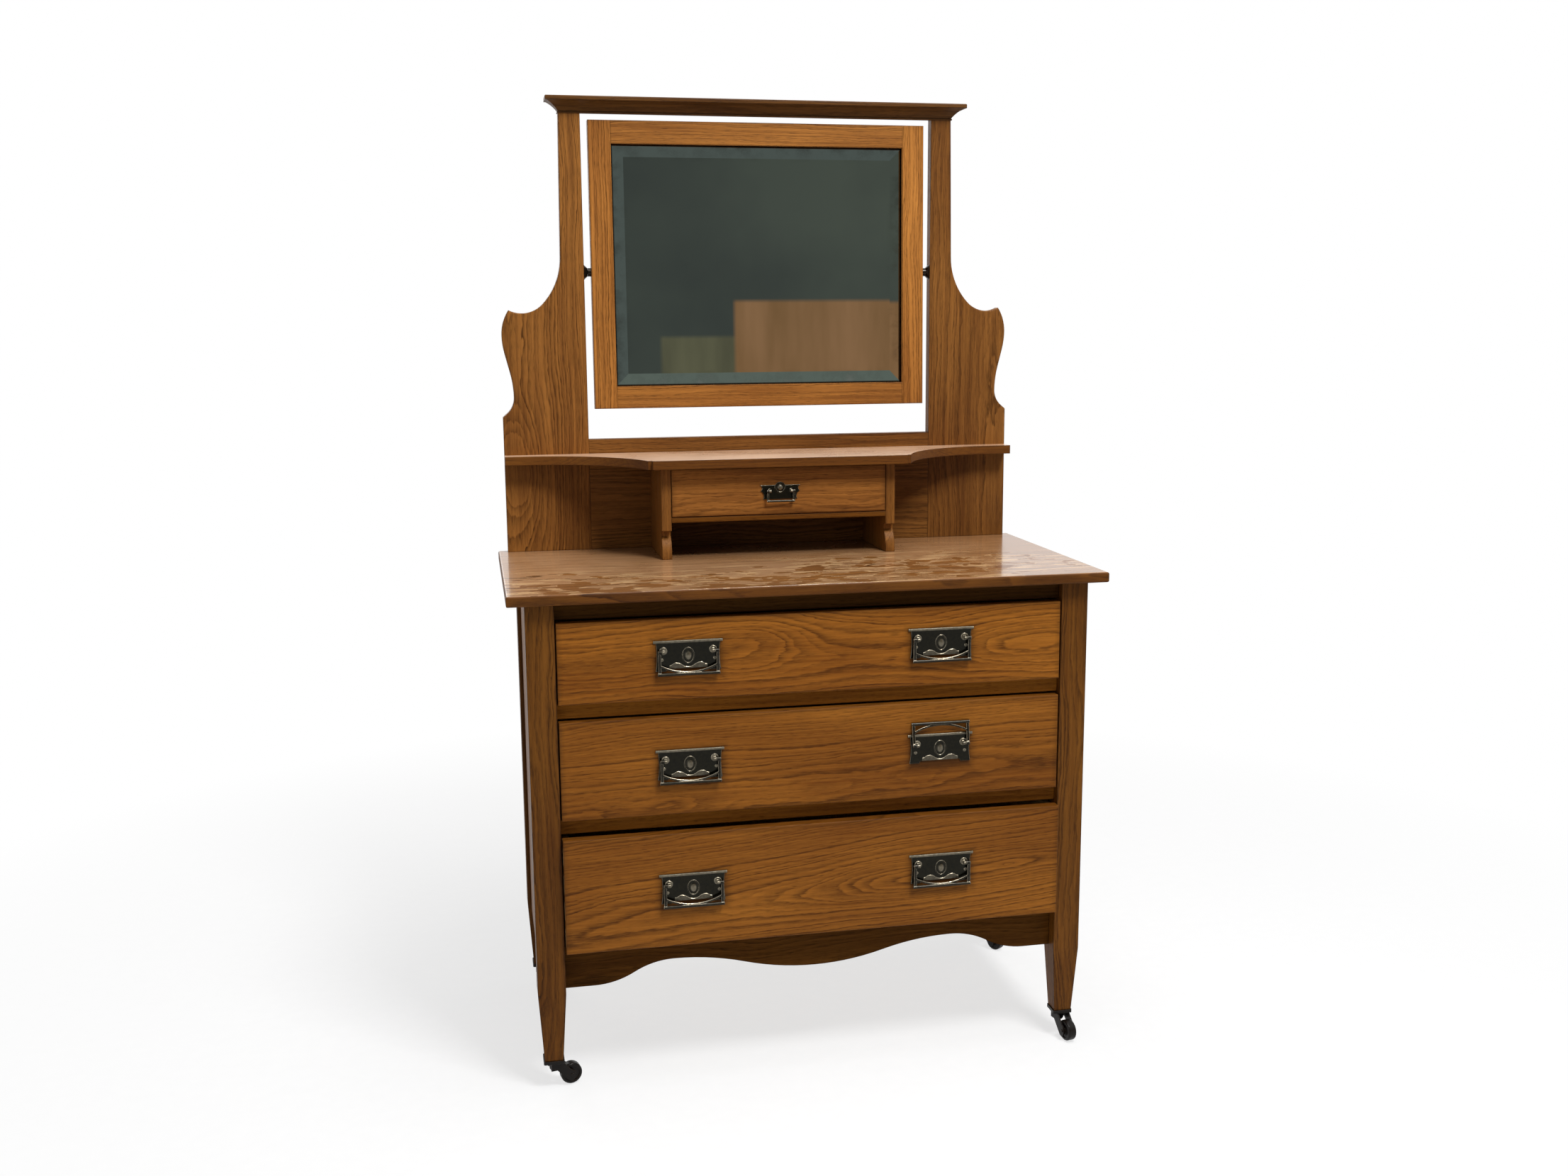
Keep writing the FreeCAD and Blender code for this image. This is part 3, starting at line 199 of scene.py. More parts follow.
# %% Group: a swelling in the rings
swelling, w, inp, out = new_group(
    "ring_swelling",
    [("Vector", "Vector", None), ("Middle", "Vector", None), ("Reach", "Vector", None),
     ("Amount", "Float", 0.0)],
    [("Depth", "Float")])
away = w.vector("DIVIDE", w.vector("SUBTRACT", inp["Vector"], inp["Middle"]), inp["Reach"])
far = w.vector("DOT_PRODUCT", away, away)
w.feed(out["Depth"], w.math("MULTIPLY", w.math("EXPONENT", w.math("MULTIPLY", far, -1.0)),
                            inp["Amount"]))
print("ring_swelling:", len(swelling.nodes), "nodes")

# %% [markdown]
# ## Stain, wax and a hundred years of hands
#
# The finish turns the figure into colour. Pale wood is mixed towards brown by the slow tone and
# the fine streaks, rings and pores are drawn darker. Along arrises, in corners and under the pulls
# a dark brown is laid, partly old dirt and partly painted shade. Shine and relief come from the
# same masks, because pores are both rougher and lower.

# %% Group: the finish on the oak
PALE, BROWN, DARK, DIRT_AND_SHADE = (152, 95, 31), (106, 59, 14), (50, 24, 4), (30, 15, 5)
OAK = (PALE, BROWN, DARK)
PORE_STAIN, GRIME_AND_SHADE_COVER = 0.5, 0.8
WAXED = 0.36                            # roughness of a clean face, before tone and pores


def srgb(red, green, blue):
    """A colour picked on a screen (0 to 255) as the linear colour that shaders use."""
    return tuple((c / 255 / 12.92) if c <= 10 else ((c / 255 + 0.055) / 1.055) ** 2.4
                 for c in (red, green, blue)) + (1.0,)


def toned(colour, tone):
    """The same colour made lighter (over 1) or darker (under 1): how a board took the stain,
    and on the rail under the top and the apron partly painted shade.
    """
    return srgb(*(min(255, c * tone) for c in colour))


finish, w, inp, out = new_group(
    "oak_finish",
    [("Rings", "Float", 0.0), ("Pores", "Float", 0.0), ("Streaks", "Float", 0.5),
     ("Tone", "Float", 0.5), ("Grime And Shade", "Float", 0.0), ("Pale", "Color", srgb(*PALE)),
     ("Brown", "Color", srgb(*BROWN)), ("Dark", "Color", srgb(*DARK)),
     ("Ring Strength", "Float", 0.7)],
    [("Color", "Color"), ("Roughness", "Float"), ("Height", "Float")])
blend = w.math("MULTIPLY_ADD", inp["Tone"], 0.55, w.math("MULTIPLY", inp["Streaks"], 0.45))
colour = w.mix(blend, inp["Brown"], inp["Pale"])
colour = w.mix(w.math("MULTIPLY", inp["Rings"], inp["Ring Strength"], clamp=True), colour,
               inp["Dark"])
colour = w.mix(w.math("MULTIPLY", inp["Pores"], PORE_STAIN), colour, inp["Dark"])
# dirt and painted shade: the dark brown laid along edges, in corners and round the pulls
colour = w.mix(w.math("MULTIPLY", inp["Grime And Shade"], GRIME_AND_SHADE_COVER), colour, srgb(*DIRT_AND_SHADE))
w.feed(out["Color"], colour)
shine = w.math("MULTIPLY_ADD", inp["Pores"], 0.18,
               w.math("MULTIPLY_ADD", inp["Tone"], 0.08, WAXED))
w.feed(out["Roughness"], w.math("MULTIPLY_ADD", inp["Grime And Shade"], 0.12, shine))
w.feed(out["Height"], w.math("SUBTRACT", w.math("MULTIPLY", inp["Pores"], -1.0),
                             w.math("MULTIPLY", inp["Rings"], 0.4)))
print("oak_finish:", len(finish.nodes), "nodes")

# %% [markdown]
# ## Finding edges
#
# Edges and corners of old furniture differ from its faces: dirt settles there, and hands rub
# them. The wood also gets painted shade there, along arrises and in corners, and the metal gets a
# painted highlight on the upper side of its edges. Blender's Bevel node looks a short way round
# each point and gives the normal that a rounded edge would have. Where it disagrees with the
# face's own normal, an edge is near. Noise breaks the mask up, because wear is never even.

# %% Group: a mask for edges
EDGE_BEGINS, EDGE_FULL = 0.01, 0.22     # one minus the cosine between the two normals
edges, w, inp, out = new_group(
    "near_edge",
    [("Vector", "Vector", None), ("Rounded", "Vector", None), ("Normal", "Vector", None),
     ("Raggedness", "Float", 0.5)],
    [("Mask", "Float")])
apart = w.math("SUBTRACT", 1.0, w.vector("DOT_PRODUCT", inp["Rounded"], inp["Normal"]))
rough_edge = w.spread(w.noise(inp["Vector"], 55.0, 3.0)["Fac"], 0.3, 0.7)
held = w.math("SUBTRACT", 1.0, w.math("MULTIPLY", inp["Raggedness"], rough_edge))
w.feed(out["Mask"], w.math("MULTIPLY", w.spread(apart, EDGE_BEGINS, EDGE_FULL), held,
                           clamp=True))
print("near_edge:", len(edges.nodes), "nodes")

# %% [markdown]
# ## Groups placed in materials
#
# A group is built once and placed in every material that needs it, each time with that
# material's own values. The Bevel node stays in the material, because its rounded normal is used
# twice: the mask compares it with the surface, and the light sees it, so that arrises are soft.

# %% Helpers for materials
def new_material(name):
    """An empty Principled material with its wiring."""
    material = bpy.data.materials.new(name)
    material.use_nodes = True
    wires = Wiring(material.node_tree)
    return material, wires, material.node_tree.nodes["Principled BSDF"]


def place_group(w, group, values):
    """Puts a group in a material with its own values and returns its outputs."""
    made = w.node("ShaderNodeGroup", node_tree=group)
    for label, value in values.items():
        w.feed(made.inputs[label], value)
    return made.outputs


def edge_mask(w, vector, radius, raggedness=0.5):
    """Places the near_edge group with the Bevel node that it compares with the surface.

    Returns the mask and the rounded normal, which also softens the arrises in the light.
    """
    rounded = w.node("ShaderNodeBevel", {"Radius": radius}, samples=4).outputs[0]
    normal = w.node("ShaderNodeNewGeometry").outputs["Normal"]
    mask = place_group(w, edges, {"Vector": vector, "Rounded": rounded, "Normal": normal,
                                  "Raggedness": raggedness})["Mask"]
    return mask, rounded


def dress(node, material):
    """Gives a CAD node its material."""
    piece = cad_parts[node]
    piece.data.materials.clear()
    piece.data.materials.append(material)


# %% [markdown]
# ## One tree for each board
#
# A joiner saws every board from another place in a log, so each board gets its own heart line,
# its own seed and the direction of its own grain. The letters say which of the chest's axes run
# along the grain, through the board and across it: XYZ for a drawer front, ZYX for an upright,
# XZY for a flat top. The table reads: depth and offset of the pith (mm), its slope and drift,
# ring spacing and wander (mm), strength of the rings, and how light the board took the stain.
# On the rail under the top and on the apron the low tone is partly painted shade.

# %% Make an oak board
EDGE_REACH, PORE_DEPTH = 2.4 * MM, 0.2 * MM
RIGHT_THROUGH = 10.0                    # reach of a swelling through its board, in metres
GLOSS, SHADED_GLOSS = 0.08, 0.02


def oak_coordinates(w, node, order):
    """Object coordinates measured from the board's middle, reordered to grain, depth, width."""
    low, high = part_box(node)
    middle = tuple(-(a + b) / 2 for a, b in zip(low, high))
    here = w.node("ShaderNodeTexCoord").outputs["Object"]
    centred = w.node("ShaderNodeMapping", {"Vector": here, "Location": middle}).outputs[0]
    axes = dict(zip("XYZ", w.parts(centred)))
    return here, w.joined(*(axes[letter] for letter in order))


PULL_AT, PULL_HALF = 194.5 * MM, (45 * MM, 22 * MM)     # middle and half sizes of a pull
# the painted shadow and dirt round each pull
PULL_DROP, PULL_SHADE_AND_DIRT, SHADE_AND_DIRT_FALL = 6 * MM, 18 * MM, 1.8  # how low, how far and how fast it fades
BORDER_DIRT = 9 * MM
DARKEST_PULL, DARKEST_BORDER = 0.85, 0.4
PULLED = ("drawer_1_front", "drawer_2_front", "drawer_3_front")


def pull_shadow_and_dirt(w, here, node):
    """Painted shadow under each pull, with old wax and dirt round it, darkest under its plate.

    The distance to a box a little lower than the plate, faded out and raised to a power.
    """
    low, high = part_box(node.replace("front", "plates"))
    lowered = w.vector("SUBTRACT", here, (0.0, 0.0, (low[2] + high[2]) / 2 - PULL_DROP))
    x, _, z = w.parts(w.vector("ABSOLUTE", lowered))
    beside = w.math("SUBTRACT", w.math("ABSOLUTE", w.math("SUBTRACT", x, PULL_AT)), PULL_HALF[0])
    away = w.math("MAXIMUM", beside, w.math("SUBTRACT", z, PULL_HALF[1]))
    shade_and_dirt = w.math("POWER", w.spread(away, PULL_SHADE_AND_DIRT, 0.0), SHADE_AND_DIRT_FALL)
    return w.math("MULTIPLY", shade_and_dirt, DARKEST_PULL)


def border_dirt(w, here, node):
    """A faint brown edge to a drawer front, from its distance to the nearest of four edges."""
    low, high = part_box(node)
    middle = tuple((a + b) / 2 for a, b in zip(low, high))
    x, _, z = w.parts(w.vector("ABSOLUTE", w.vector("SUBTRACT", here, middle)))
    inside = w.math("MINIMUM", w.math("SUBTRACT", (high[0] - low[0]) / 2, x),
                    w.math("SUBTRACT", (high[2] - low[2]) / 2, z))
    return w.spread(inside, BORDER_DIRT, 0.0, 0.0, DARKEST_BORDER)


def oak_board(node, order, depth, offset, slope, drift, spacing, wander, strength, tone, seed,
              swells=(), colours=OAK, specular=GLOSS, relief=0.35, wood="oak"):
    """A wood material for one board; returns the parts that a special finish may rework.

    A swell is (grain place, width place, grain reach, width reach, amount), all in mm.
    """
    material, w, shader = new_material(wood + "_" + node)
    here, grain = oak_coordinates(w, node, order)
    pith = depth * MM
    for along, across, long_reach, wide_reach, amount in swells:
        bulge = place_group(w, swelling, {
            "Vector": grain, "Middle": (along * MM, 0.0, across * MM),
            "Reach": (long_reach * MM, RIGHT_THROUGH, wide_reach * MM),
            "Amount": amount * MM})["Depth"]
        pith = w.math("ADD", pith, bulge)
    board = place_group(w, figure, {
        "Vector": grain, "Seed": seed, "Pith Depth": pith, "Pith Offset": offset * MM,
        "Slope": slope, "Drift": drift, "Ring Spacing": spacing * MM, "Wander": wander * MM})
    # darker along arrises, in corners and under the pulls: partly dirt, partly painted shade
    grime_and_shade, rounded = edge_mask(w, here, EDGE_REACH)
    if node in PULLED:
        grime_and_shade = w.math("MAXIMUM", grime_and_shade, pull_shadow_and_dirt(w, here, node))
    if node.endswith("_front"):
        grime_and_shade = w.math("MAXIMUM", grime_and_shade, border_dirt(w, here, node))
    pale, brown, dark = (toned(colour, tone) for colour in colours)
    surface = place_group(w, finish, {
        "Rings": board["Rings"], "Pores": board["Pores"], "Streaks": board["Streaks"],
        "Tone": board["Tone"], "Grime And Shade": grime_and_shade, "Pale": pale, "Brown": brown, "Dark": dark,
        "Ring Strength": strength})
    bump = w.node("ShaderNodeBump", {"Height": surface["Height"], "Distance": PORE_DEPTH,
                                     "Strength": relief, "Normal": rounded})
    w.feed(shader.inputs["Base Color"], surface["Color"])
    w.feed(shader.inputs["Roughness"], surface["Roughness"])
    w.feed(shader.inputs["Normal"], bump.outputs[0])
    shader.inputs["Specular IOR Level"].default_value = specular
    dress(node, material)
    return w, shader, board, surface, here, grain


# %% [markdown]
# ## The boards of this chest
#
# Here is the table itself, and a second one for the places where branches grew. The rails and
# the apron lie in shade and keep less gloss. The upper part and the mirror's frame have faded
# to a greyer brown than the drawers, so they get their own two colours.

# %% The oak boards
OAK_BOARDS = {
    # node: (grain, depth, offset, slope, drift, spacing, wander, strength, tone)
    "drawer_1_front": ("XYZ", 48, 4, 0.0, 0.0, 5.4, 38, 0.88, 1.06),
    "drawer_2_front": ("XYZ", 50, 52, 0.02, -0.05, 5.0, 34, 0.80, 1.00),
    "drawer_3_front": ("XYZ", 44, 27, -0.03, -0.09, 5.4, 30, 0.92, 0.99),
    "trinket_front": ("XYZ", 120, 60, 0.0, 0.0, 4.4, 34, 0.65, 1.09),
    # the low tones of the rail under the top and of the apron are partly painted shade
    "front_top_rail": ("XYZ", 90, 60, 0.0, 0.0, 5.0, 20, 0.55, 0.50),
    "drawer_rails": ("XYZ", 90, 50, 0.0, 0.0, 4.6, 24, 0.60, 0.92),
    "apron": ("XYZ", 70, 40, 0.0, 0.0, 5.4, 40, 0.90, 0.60),
    "leg_front_left": ("ZYX", 90, 50, 0.0, 0.0, 4.8, 26, 1.00, 0.76),
    "leg_front_right": ("ZYX", 90, -50, 0.0, 0.0, 4.8, 26, 1.10, 0.77),
    "leg_rear_left": ("ZYX", 90, 50, 0.0, 0.0, 4.6, 18, 0.60, 0.70),
    "leg_rear_right": ("ZYX", 100, -50, 0.0, 0.0, 4.6, 18, 0.60, 0.70),
    "side_panel_left": ("ZXY", 60, 20, 0.04, 0.0, 5.4, 40, 0.85, 0.86),
    "side_panel_right": ("ZXY", 66, -30, 0.04, 0.0, 5.4, 40, 0.85, 0.86),
    "upright_left": ("ZYX", 60, 60, -0.02, 0.0, 5.6, 40, 1.10, 0.98),
    "upright_right": ("ZYX", 110, -60, 0.0, 0.0, 4.8, 34, 0.80, 0.90),
    "upright_board": ("XYZ", 60, 20, 0.03, 0.0, 5.2, 40, 0.85, 0.86),
    "cornice": ("XYZ", 70, 40, 0.0, 0.0, 4.8, 20, 0.60, 0.66),
    "shelf_bracket_left": ("ZXY", 90, 50, 0.0, 0.0, 5.0, 20, 0.60, 0.92),
    "shelf_bracket_right": ("ZXY", 80, -50, 0.0, 0.0, 5.0, 20, 0.60, 0.92),
    "trinket_floor": ("XZY", 80, 40, 0.0, 0.0, 5.0, 20, 0.60, 0.80),
    "mirror_stiles": ("ZYX", 70, 10, 0.0, 0.0, 5.0, 26, 0.90, 1.15),
    "mirror_rails": ("XYZ", 56, 12, 0.0, 0.0, 5.0, 30, 0.95, 1.09),
}
SWELLS = {
    # node: swells as (grain place, width place, grain reach, width reach, amount), in mm
    "drawer_1_front": ((-120, 80, 90, 60, -34), (60, 0, 150, 60, 18), (330, 20, 120, 60, -20)),
    "drawer_2_front": ((-200, 70, 110, 60, -24), (120, 90, 120, 60, -16)),
    "drawer_3_front": ((210, 0, 160, 300, -34),),
    "upright_left": ((-230, -20, 120, 60, -40), (60, 40, 110, 60, -20)),
}
SHADED = ("front_top_rail", "drawer_rails", "apron")
FADED = ("upright_left", "upright_right", "upright_board", "cornice", "shelf_bracket_left",
         "shelf_bracket_right", "trinket_front", "mirror_stiles", "mirror_rails")
FADED_OAK = ((158, 104, 47), (100, 59, 25), DARK)
for seed, (node, values) in enumerate(OAK_BOARDS.items(), start=1):
    oak_board(node, *values, seed=seed, swells=SWELLS.get(node, ()),
              colours=FADED_OAK if node in FADED else OAK,
              specular=SHADED_GLOSS if node in SHADED else GLOSS)
print("oak boards", len(OAK_BOARDS))

# %% [markdown]
# ## The dressing top and the shelf
#
# These two take the wear. Their polish has gone pale and hazy, with brown islands where it has
# flaked off, paler rims round them, and pale streaks combed along the grain. What is left is
# glossier than the fronts. The same board is made first, and then a haze of pale colour is laid
# between its rings, broken by noise. Only upper faces have it: the edges stay dark. On the shelf
# that pale veil is partly real haze and partly a painted sheen of the light from above.

# %% Hazy polish on the flat boards
FLAKE_GRAIN, COMB_GRAIN = (24.0, 40.0, 1.0), (13.0, 62.0, 1.0)  # noise cells in a metre
WORN_FADE = (2.2, 4.5, 0.0)             # one over the reach of a worn place, in metres
FLAKED, WHOLE = 0.68, 0.86              # level of the noise past which the polish is off
BARE_VEIL = 0.2                         # share of the veil that bare wood keeps
PALE_COVER, POLISH_COAT, POLISH_RELIEF, POLISH_GLOSS = 0.55, 0.55, 0.12, 0.12


def hazed_board(node, values, seed, veil, haze_and_sheen, rim, strokes, flaking, flakes_at):
    """An oak board whose upper face has a pale veil, flaked off in islands with paler rims.

    The veil lies between the rings, down to the share strokes on a ring. Flakes are where noise
    passes a level, and the level is lower near each place of flakes_at, by the amount flaking.
    Pale combed streaks of the same kind of noise, stretched along the grain, lie among them.
    """
    w, shader, board, surface, here, grain = oak_board(
        node, "XZY", *values, seed=seed, specular=POLISH_GLOSS, relief=POLISH_RELIEF)
    up = w.spread(w.parts(w.node("ShaderNodeNewGeometry").outputs["Normal"])[2], 0.7, 0.95)
    patches = w.noise(w.vector("MULTIPLY", here, FLAKE_GRAIN))["Fac"]
    patches = w.math("MULTIPLY_ADD", board["Rings"], 0.22, patches)
    near = 1.0          # grows from zero in the middle of a worn place
    for place in flakes_at:
        offset = w.vector("MULTIPLY", w.vector("SUBTRACT", here, place), WORN_FADE)
        near = w.math("MINIMUM", near, w.vector("LENGTH", offset))
    level = w.spread(near, 0.2, 1.0, FLAKED - flaking, WHOLE)
    beyond = w.math("SUBTRACT", patches, level)
    bare = w.spread(beyond, -0.004, 0.006)
    border = w.math("SUBTRACT", w.spread(beyond, -0.035, -0.006), bare, clamp=True)

    # the haze: in slow clouds, thinner to the right, on the bare wood and on the rings
    clouds = w.spread(w.noise(grain, 7.0, 4.0, 0.6)["Fac"], 0.3, 0.7, 0.7, 1.25)
    clouds = w.math("MULTIPLY", clouds, w.spread(w.parts(here)[0], -0.45, 0.45, 1.18, 0.82))
    cover = w.math("MULTIPLY", w.spread(bare, 0.0, 1.0, veil, veil * BARE_VEIL), clouds)
    cover = w.math("MULTIPLY", cover, w.spread(board["Rings"], 0.1, 0.8, 1.0, strokes))
    # with the shelf's values this pale veil is partly a painted sheen of the light from above
    colour = w.mix(w.math("MULTIPLY", cover, up, clamp=True), surface["Color"], haze_and_sheen)

    # the pale rims and streaks
    combed = w.noise(w.vector("MULTIPLY", here, COMB_GRAIN))["Fac"]
    combed = w.math("MULTIPLY", w.spread(combed, 0.55, 0.60), w.spread(near, 0.95, 0.35))
    combed = w.math("MULTIPLY", combed, w.math("SUBTRACT", 1.0, bare))
    pale = w.math("MULTIPLY", w.math("MAXIMUM", border, combed), up)
    colour = w.mix(w.math("MULTIPLY", pale, PALE_COVER), colour, rim)
    colour = w.mix(w.math("SUBTRACT", 0.5, w.math("MULTIPLY", up, 0.5)), colour, srgb(*DARK))
    w.feed(shader.inputs["Base Color"], colour)

    # the gloss
    polish = w.math("MULTIPLY_ADD", bare, 0.12, w.math("MULTIPLY_ADD", clouds, 0.1, -0.37))
    w.feed(shader.inputs["Roughness"], w.math("MULTIPLY_ADD", up, polish, 0.55))
    w.feed(shader.inputs["Coat Weight"], w.math("MULTIPLY", up, POLISH_COAT))
    shader.inputs["Coat Roughness"].default_value = 0.1
    print(node, "has", len(flakes_at), "worn places")


hazed_board("top_board", (46, 70, 0.03, 0.0, 9.0, 90, 1.2, 0.94), 31, veil=0.66,
            haze_and_sheen=srgb(172, 133, 97), rim=srgb(216, 178, 130), strokes=0.25, flaking=0.16,
            flakes_at=((-0.34, -0.17, 0.77), (-0.06, -0.19, 0.77), (0.20, -0.10, 0.77)))
# the shelf: its pale veil is partly real haze and partly painted sheen
hazed_board("shelf", (80, 30, 0.0, 0.0, 5.0, 40, 0.6, 1.0), 32, veil=0.88,
            haze_and_sheen=srgb(218, 180, 148), rim=srgb(226, 190, 146), strokes=0.5, flaking=0.04,
            flakes_at=((0.25, -0.05, 0.93),))

# %% [markdown]
# ## Softwood inside
#
# Drawer sides, bottoms and the back were never polished. They use the same rings, closer and
# fainter, in pale or stained pine, fully matt.

# %% Pine linings and backs
PINE = {"pale": ((196, 160, 112), (164, 122, 76), (128, 86, 46)),
        "stained": ((122, 88, 58), (94, 64, 40), (62, 40, 24))}
PINE_RINGS = (70, 20, 0.0, 0.0, 3.6, 30, 0.5, 1.0)      # the columns of the oak table
PINE_GLOSS, PINE_DRYNESS, FIRST_PINE_SEED = 0.2, 0.35, 51
PINE_BOARDS = {
    "drawer_1_box": ("YXZ", "pale"), "drawer_2_box": ("YXZ", "pale"),
    "drawer_3_box": ("YXZ", "pale"), "trinket_box": ("YXZ", "pale"),
    "drawer_1_bottom": ("XZY", "pale"), "drawer_2_bottom": ("XZY", "pale"),
    "drawer_3_bottom": ("XZY", "pale"), "trinket_bottom": ("XZY", "pale"),
    "back_panel": ("ZYX", "stained"), "back_rails": ("XYZ", "stained"),
    "drawer_runners": ("YXZ", "stained"), "drawer_guides": ("YXZ", "stained"),
    "mirror_backboard": ("ZYX", "stained"),
}
for seed, (node, (order, kind)) in enumerate(PINE_BOARDS.items(), start=FIRST_PINE_SEED):
    w, shader, _, surface, _, _ = oak_board(node, order, *PINE_RINGS, seed=seed, wood="pine",
                                            colours=PINE[kind], specular=PINE_GLOSS)
    dry = w.math("ADD", surface["Roughness"], PINE_DRYNESS, clamp=True)
    w.feed(shader.inputs["Roughness"], dry)
print("pine boards", len(PINE_BOARDS))

# %% [markdown]
# ## Brass gone brown, and black iron
#
# The pulls are stamped brass with a dark patina. Cloths and fingers have rubbed it off the edges
# of what stands proud: the lip, the boss, the rib and the grip. The upper side of those edges is
# drawn brighter still, as a painted highlight of the light from above. The edge mask finds those
# lines, and the rounded normal tells which of them face up. How far a point stands in front of the
# drawer is simply its own Y coordinate, so a proud flat place gets a little of the rub as well.
# The castors are black japanned iron, with a duller metal underneath.

# %% Group: patina on metal
FLAT_RUB, PITTING = 0.22, 0.05 * MM
BLACKENED = (14, 14, 11)
patina, w, inp, out = new_group(
    "patina",
    [("Vector", "Vector", None), ("Edge", "Float", 0.0), ("Proud", "Float", 0.0),
     ("Dark", "Color", srgb(34, 30, 23)), ("Bright", "Color", srgb(176, 150, 112)),
     ("Rubbed", "Float", 0.8)],
    [("Color", "Color"), ("Roughness", "Float"), ("Height", "Float")])
blotch = w.spread(w.noise(inp["Vector"], 240.0, 4.0, 0.6)["Fac"], 0.32, 0.7)
# wear on edges and proud places; on upper edges the Edge input also brings a painted highlight
wear_and_highlight = w.math("ADD", w.math("MULTIPLY", inp["Edge"], inp["Rubbed"]),
              w.math("MULTIPLY", inp["Proud"], FLAT_RUB))
wear_and_highlight = w.math("MULTIPLY", wear_and_highlight, w.spread(blotch, 0.0, 1.0, 1.0, 0.5), clamp=True)
dull = w.mix(w.math("MULTIPLY", blotch, 0.6), inp["Dark"], srgb(*BLACKENED))
w.feed(out["Color"], w.mix(wear_and_highlight, dull, inp["Bright"]))
w.feed(out["Roughness"], w.math("MULTIPLY_ADD", blotch, 0.14,
                                w.spread(wear_and_highlight, 0.0, 1.0, 0.30, 0.22)))
w.feed(out["Height"], w.noise(inp["Vector"], 900.0, 2.0)["Fac"])
print("patina:", len(patina.nodes), "nodes")


def old_metal(name, dark, bright, rubbed, reach, metallic=1.0, coat=0.0, proud=None,
              specular=0.5):
    """A worn metal: dark in its hollows, bright on its worn edges, and brighter on their upper side
    as a painted highlight; past the two depths of proud (as Y, for no rub and full rub) a little
    worn where it is flat."""
    material, w, shader = new_material(name)
    here = w.node("ShaderNodeTexCoord").outputs["Object"]
    standing = w.spread(w.parts(here)[1], *proud) if proud else 0.0
    edge, rounded = edge_mask(w, here, reach, 0.4)
    # the upper side of an edge gets more of the bright colour: a painted highlight, besides wear
    highlit_upper_side = w.spread(w.parts(rounded)[2], -0.3, 0.5, 0.25, 1.0)
    made = place_group(w, patina, {
        "Vector": here, "Edge": w.math("MULTIPLY", edge, highlit_upper_side), "Proud": standing,
        "Dark": srgb(*dark), "Bright": srgb(*bright), "Rubbed": rubbed})
    bump = w.node("ShaderNodeBump", {"Height": made["Height"], "Distance": PITTING,
                                     "Strength": 0.5, "Normal": rounded})
    w.feed(shader.inputs["Base Color"], made["Color"])
    w.feed(shader.inputs["Roughness"], made["Roughness"])
    w.feed(shader.inputs["Normal"], bump.outputs[0])
    shader.inputs["Metallic"].default_value = metallic
    shader.inputs["Specular IOR Level"].default_value = specular
    shader.inputs["Coat Weight"].default_value = coat
    shader.inputs["Coat Roughness"].default_value = 0.12
    return material


# %% Dress the metal
# the bright brass is worn metal and, on upper edges, a painted highlight
BRASS_DARK, BRASS_WORN_AND_HIGHLIT = (29, 27, 17), (226, 212, 184)
RUB_BEGINS, RUB_FULL = 1.8 * MM, 2.3 * MM       # in front of the drawer's face
for drawer in ("drawer_1", "drawer_2", "drawer_3", "trinket"):
    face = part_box(drawer + "_front")[0][1]
    plate = drawer + ("_plate" if drawer == "trinket" else "_plates")
    dress(plate, old_metal(drawer + "_plate_brass", BRASS_DARK, BRASS_WORN_AND_HIGHLIT, 1.0, 1.2 * MM,
                           coat=0.2, proud=(face - RUB_BEGINS, face - RUB_FULL)))
bail_brass = old_metal("bail_brass", (38, 34, 25), BRASS_WORN_AND_HIGHLIT, 1.4, 1.6 * MM, coat=0.25)
pivot_brass = old_metal("pivot_brass", (34, 26, 19), (110, 90, 68), 0.6, 0.9 * MM, coat=0.3)
iron = old_metal("japanned_iron", (20, 14, 11), (96, 74, 56), 0.6, 1.0 * MM, metallic=0.0,
                 coat=0.05, specular=0.14)
for words, metal in ((("bail",), bail_brass), (("mirror_pivots", "mirror_collars"), pivot_brass),
                     (("castor", "horn", "wheel"), iron)):
    named = [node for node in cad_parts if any(word in node for word in words)]
    for node in named:
        dress(node, metal)
    print(metal.name, "on", len(named), "nodes")

# %% [markdown]
# ## The mirror
#
# Plate glass with silver behind it is simply a very smooth metal whose tint is a little green.
# Old silvering clouds near the edges of the plate, so roughness and colour change there, and the
# rebate throws a thin dark line on the rim. The distance from the border is worked out from
# Object coordinates.

# %% Silvered glass
SILVER, FOXED, RIM = (0.36, 0.405, 0.385, 1), (0.16, 0.165, 0.15, 1), (0.03, 0.025, 0.02, 1)
FOXING_REACH, RIM_INNER, RIM_OUTER = 35 * MM, 11.0 * MM, 9.2 * MM
low, high = (Vector(corner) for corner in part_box("mirror_glass"))
half = (high - low) / 2
material, w, shader = new_material("silvered_glass")
here = w.node("ShaderNodeTexCoord").outputs["Object"]
centred = w.node("ShaderNodeMapping", {"Vector": here, "Location": tuple(-(low + high) / 2)})
x, y, z = w.parts(w.vector("ABSOLUTE", centred.outputs[0]))
border = w.math("MINIMUM", w.math("SUBTRACT", half.x, x), w.math("SUBTRACT", half.z, z))
cloud = w.noise(here, 30.0, 5.0, 0.65)["Fac"]
foxing = w.math("MULTIPLY", w.spread(border, FOXING_REACH, 0.0), w.spread(cloud, 0.45, 0.7))
silver = w.mix(foxing, SILVER, FOXED)
w.feed(shader.inputs["Base Color"], w.mix(w.spread(border, RIM_INNER, RIM_OUTER), silver, RIM))
w.feed(shader.inputs["Roughness"], w.math("MULTIPLY_ADD", foxing, 0.25, 0.012))
shader.inputs["Metallic"].default_value = 1.0
dress("mirror_glass", material)
print("mirror plate", [round(2 * side / MM) for side in (half.x, half.z)], "mm")

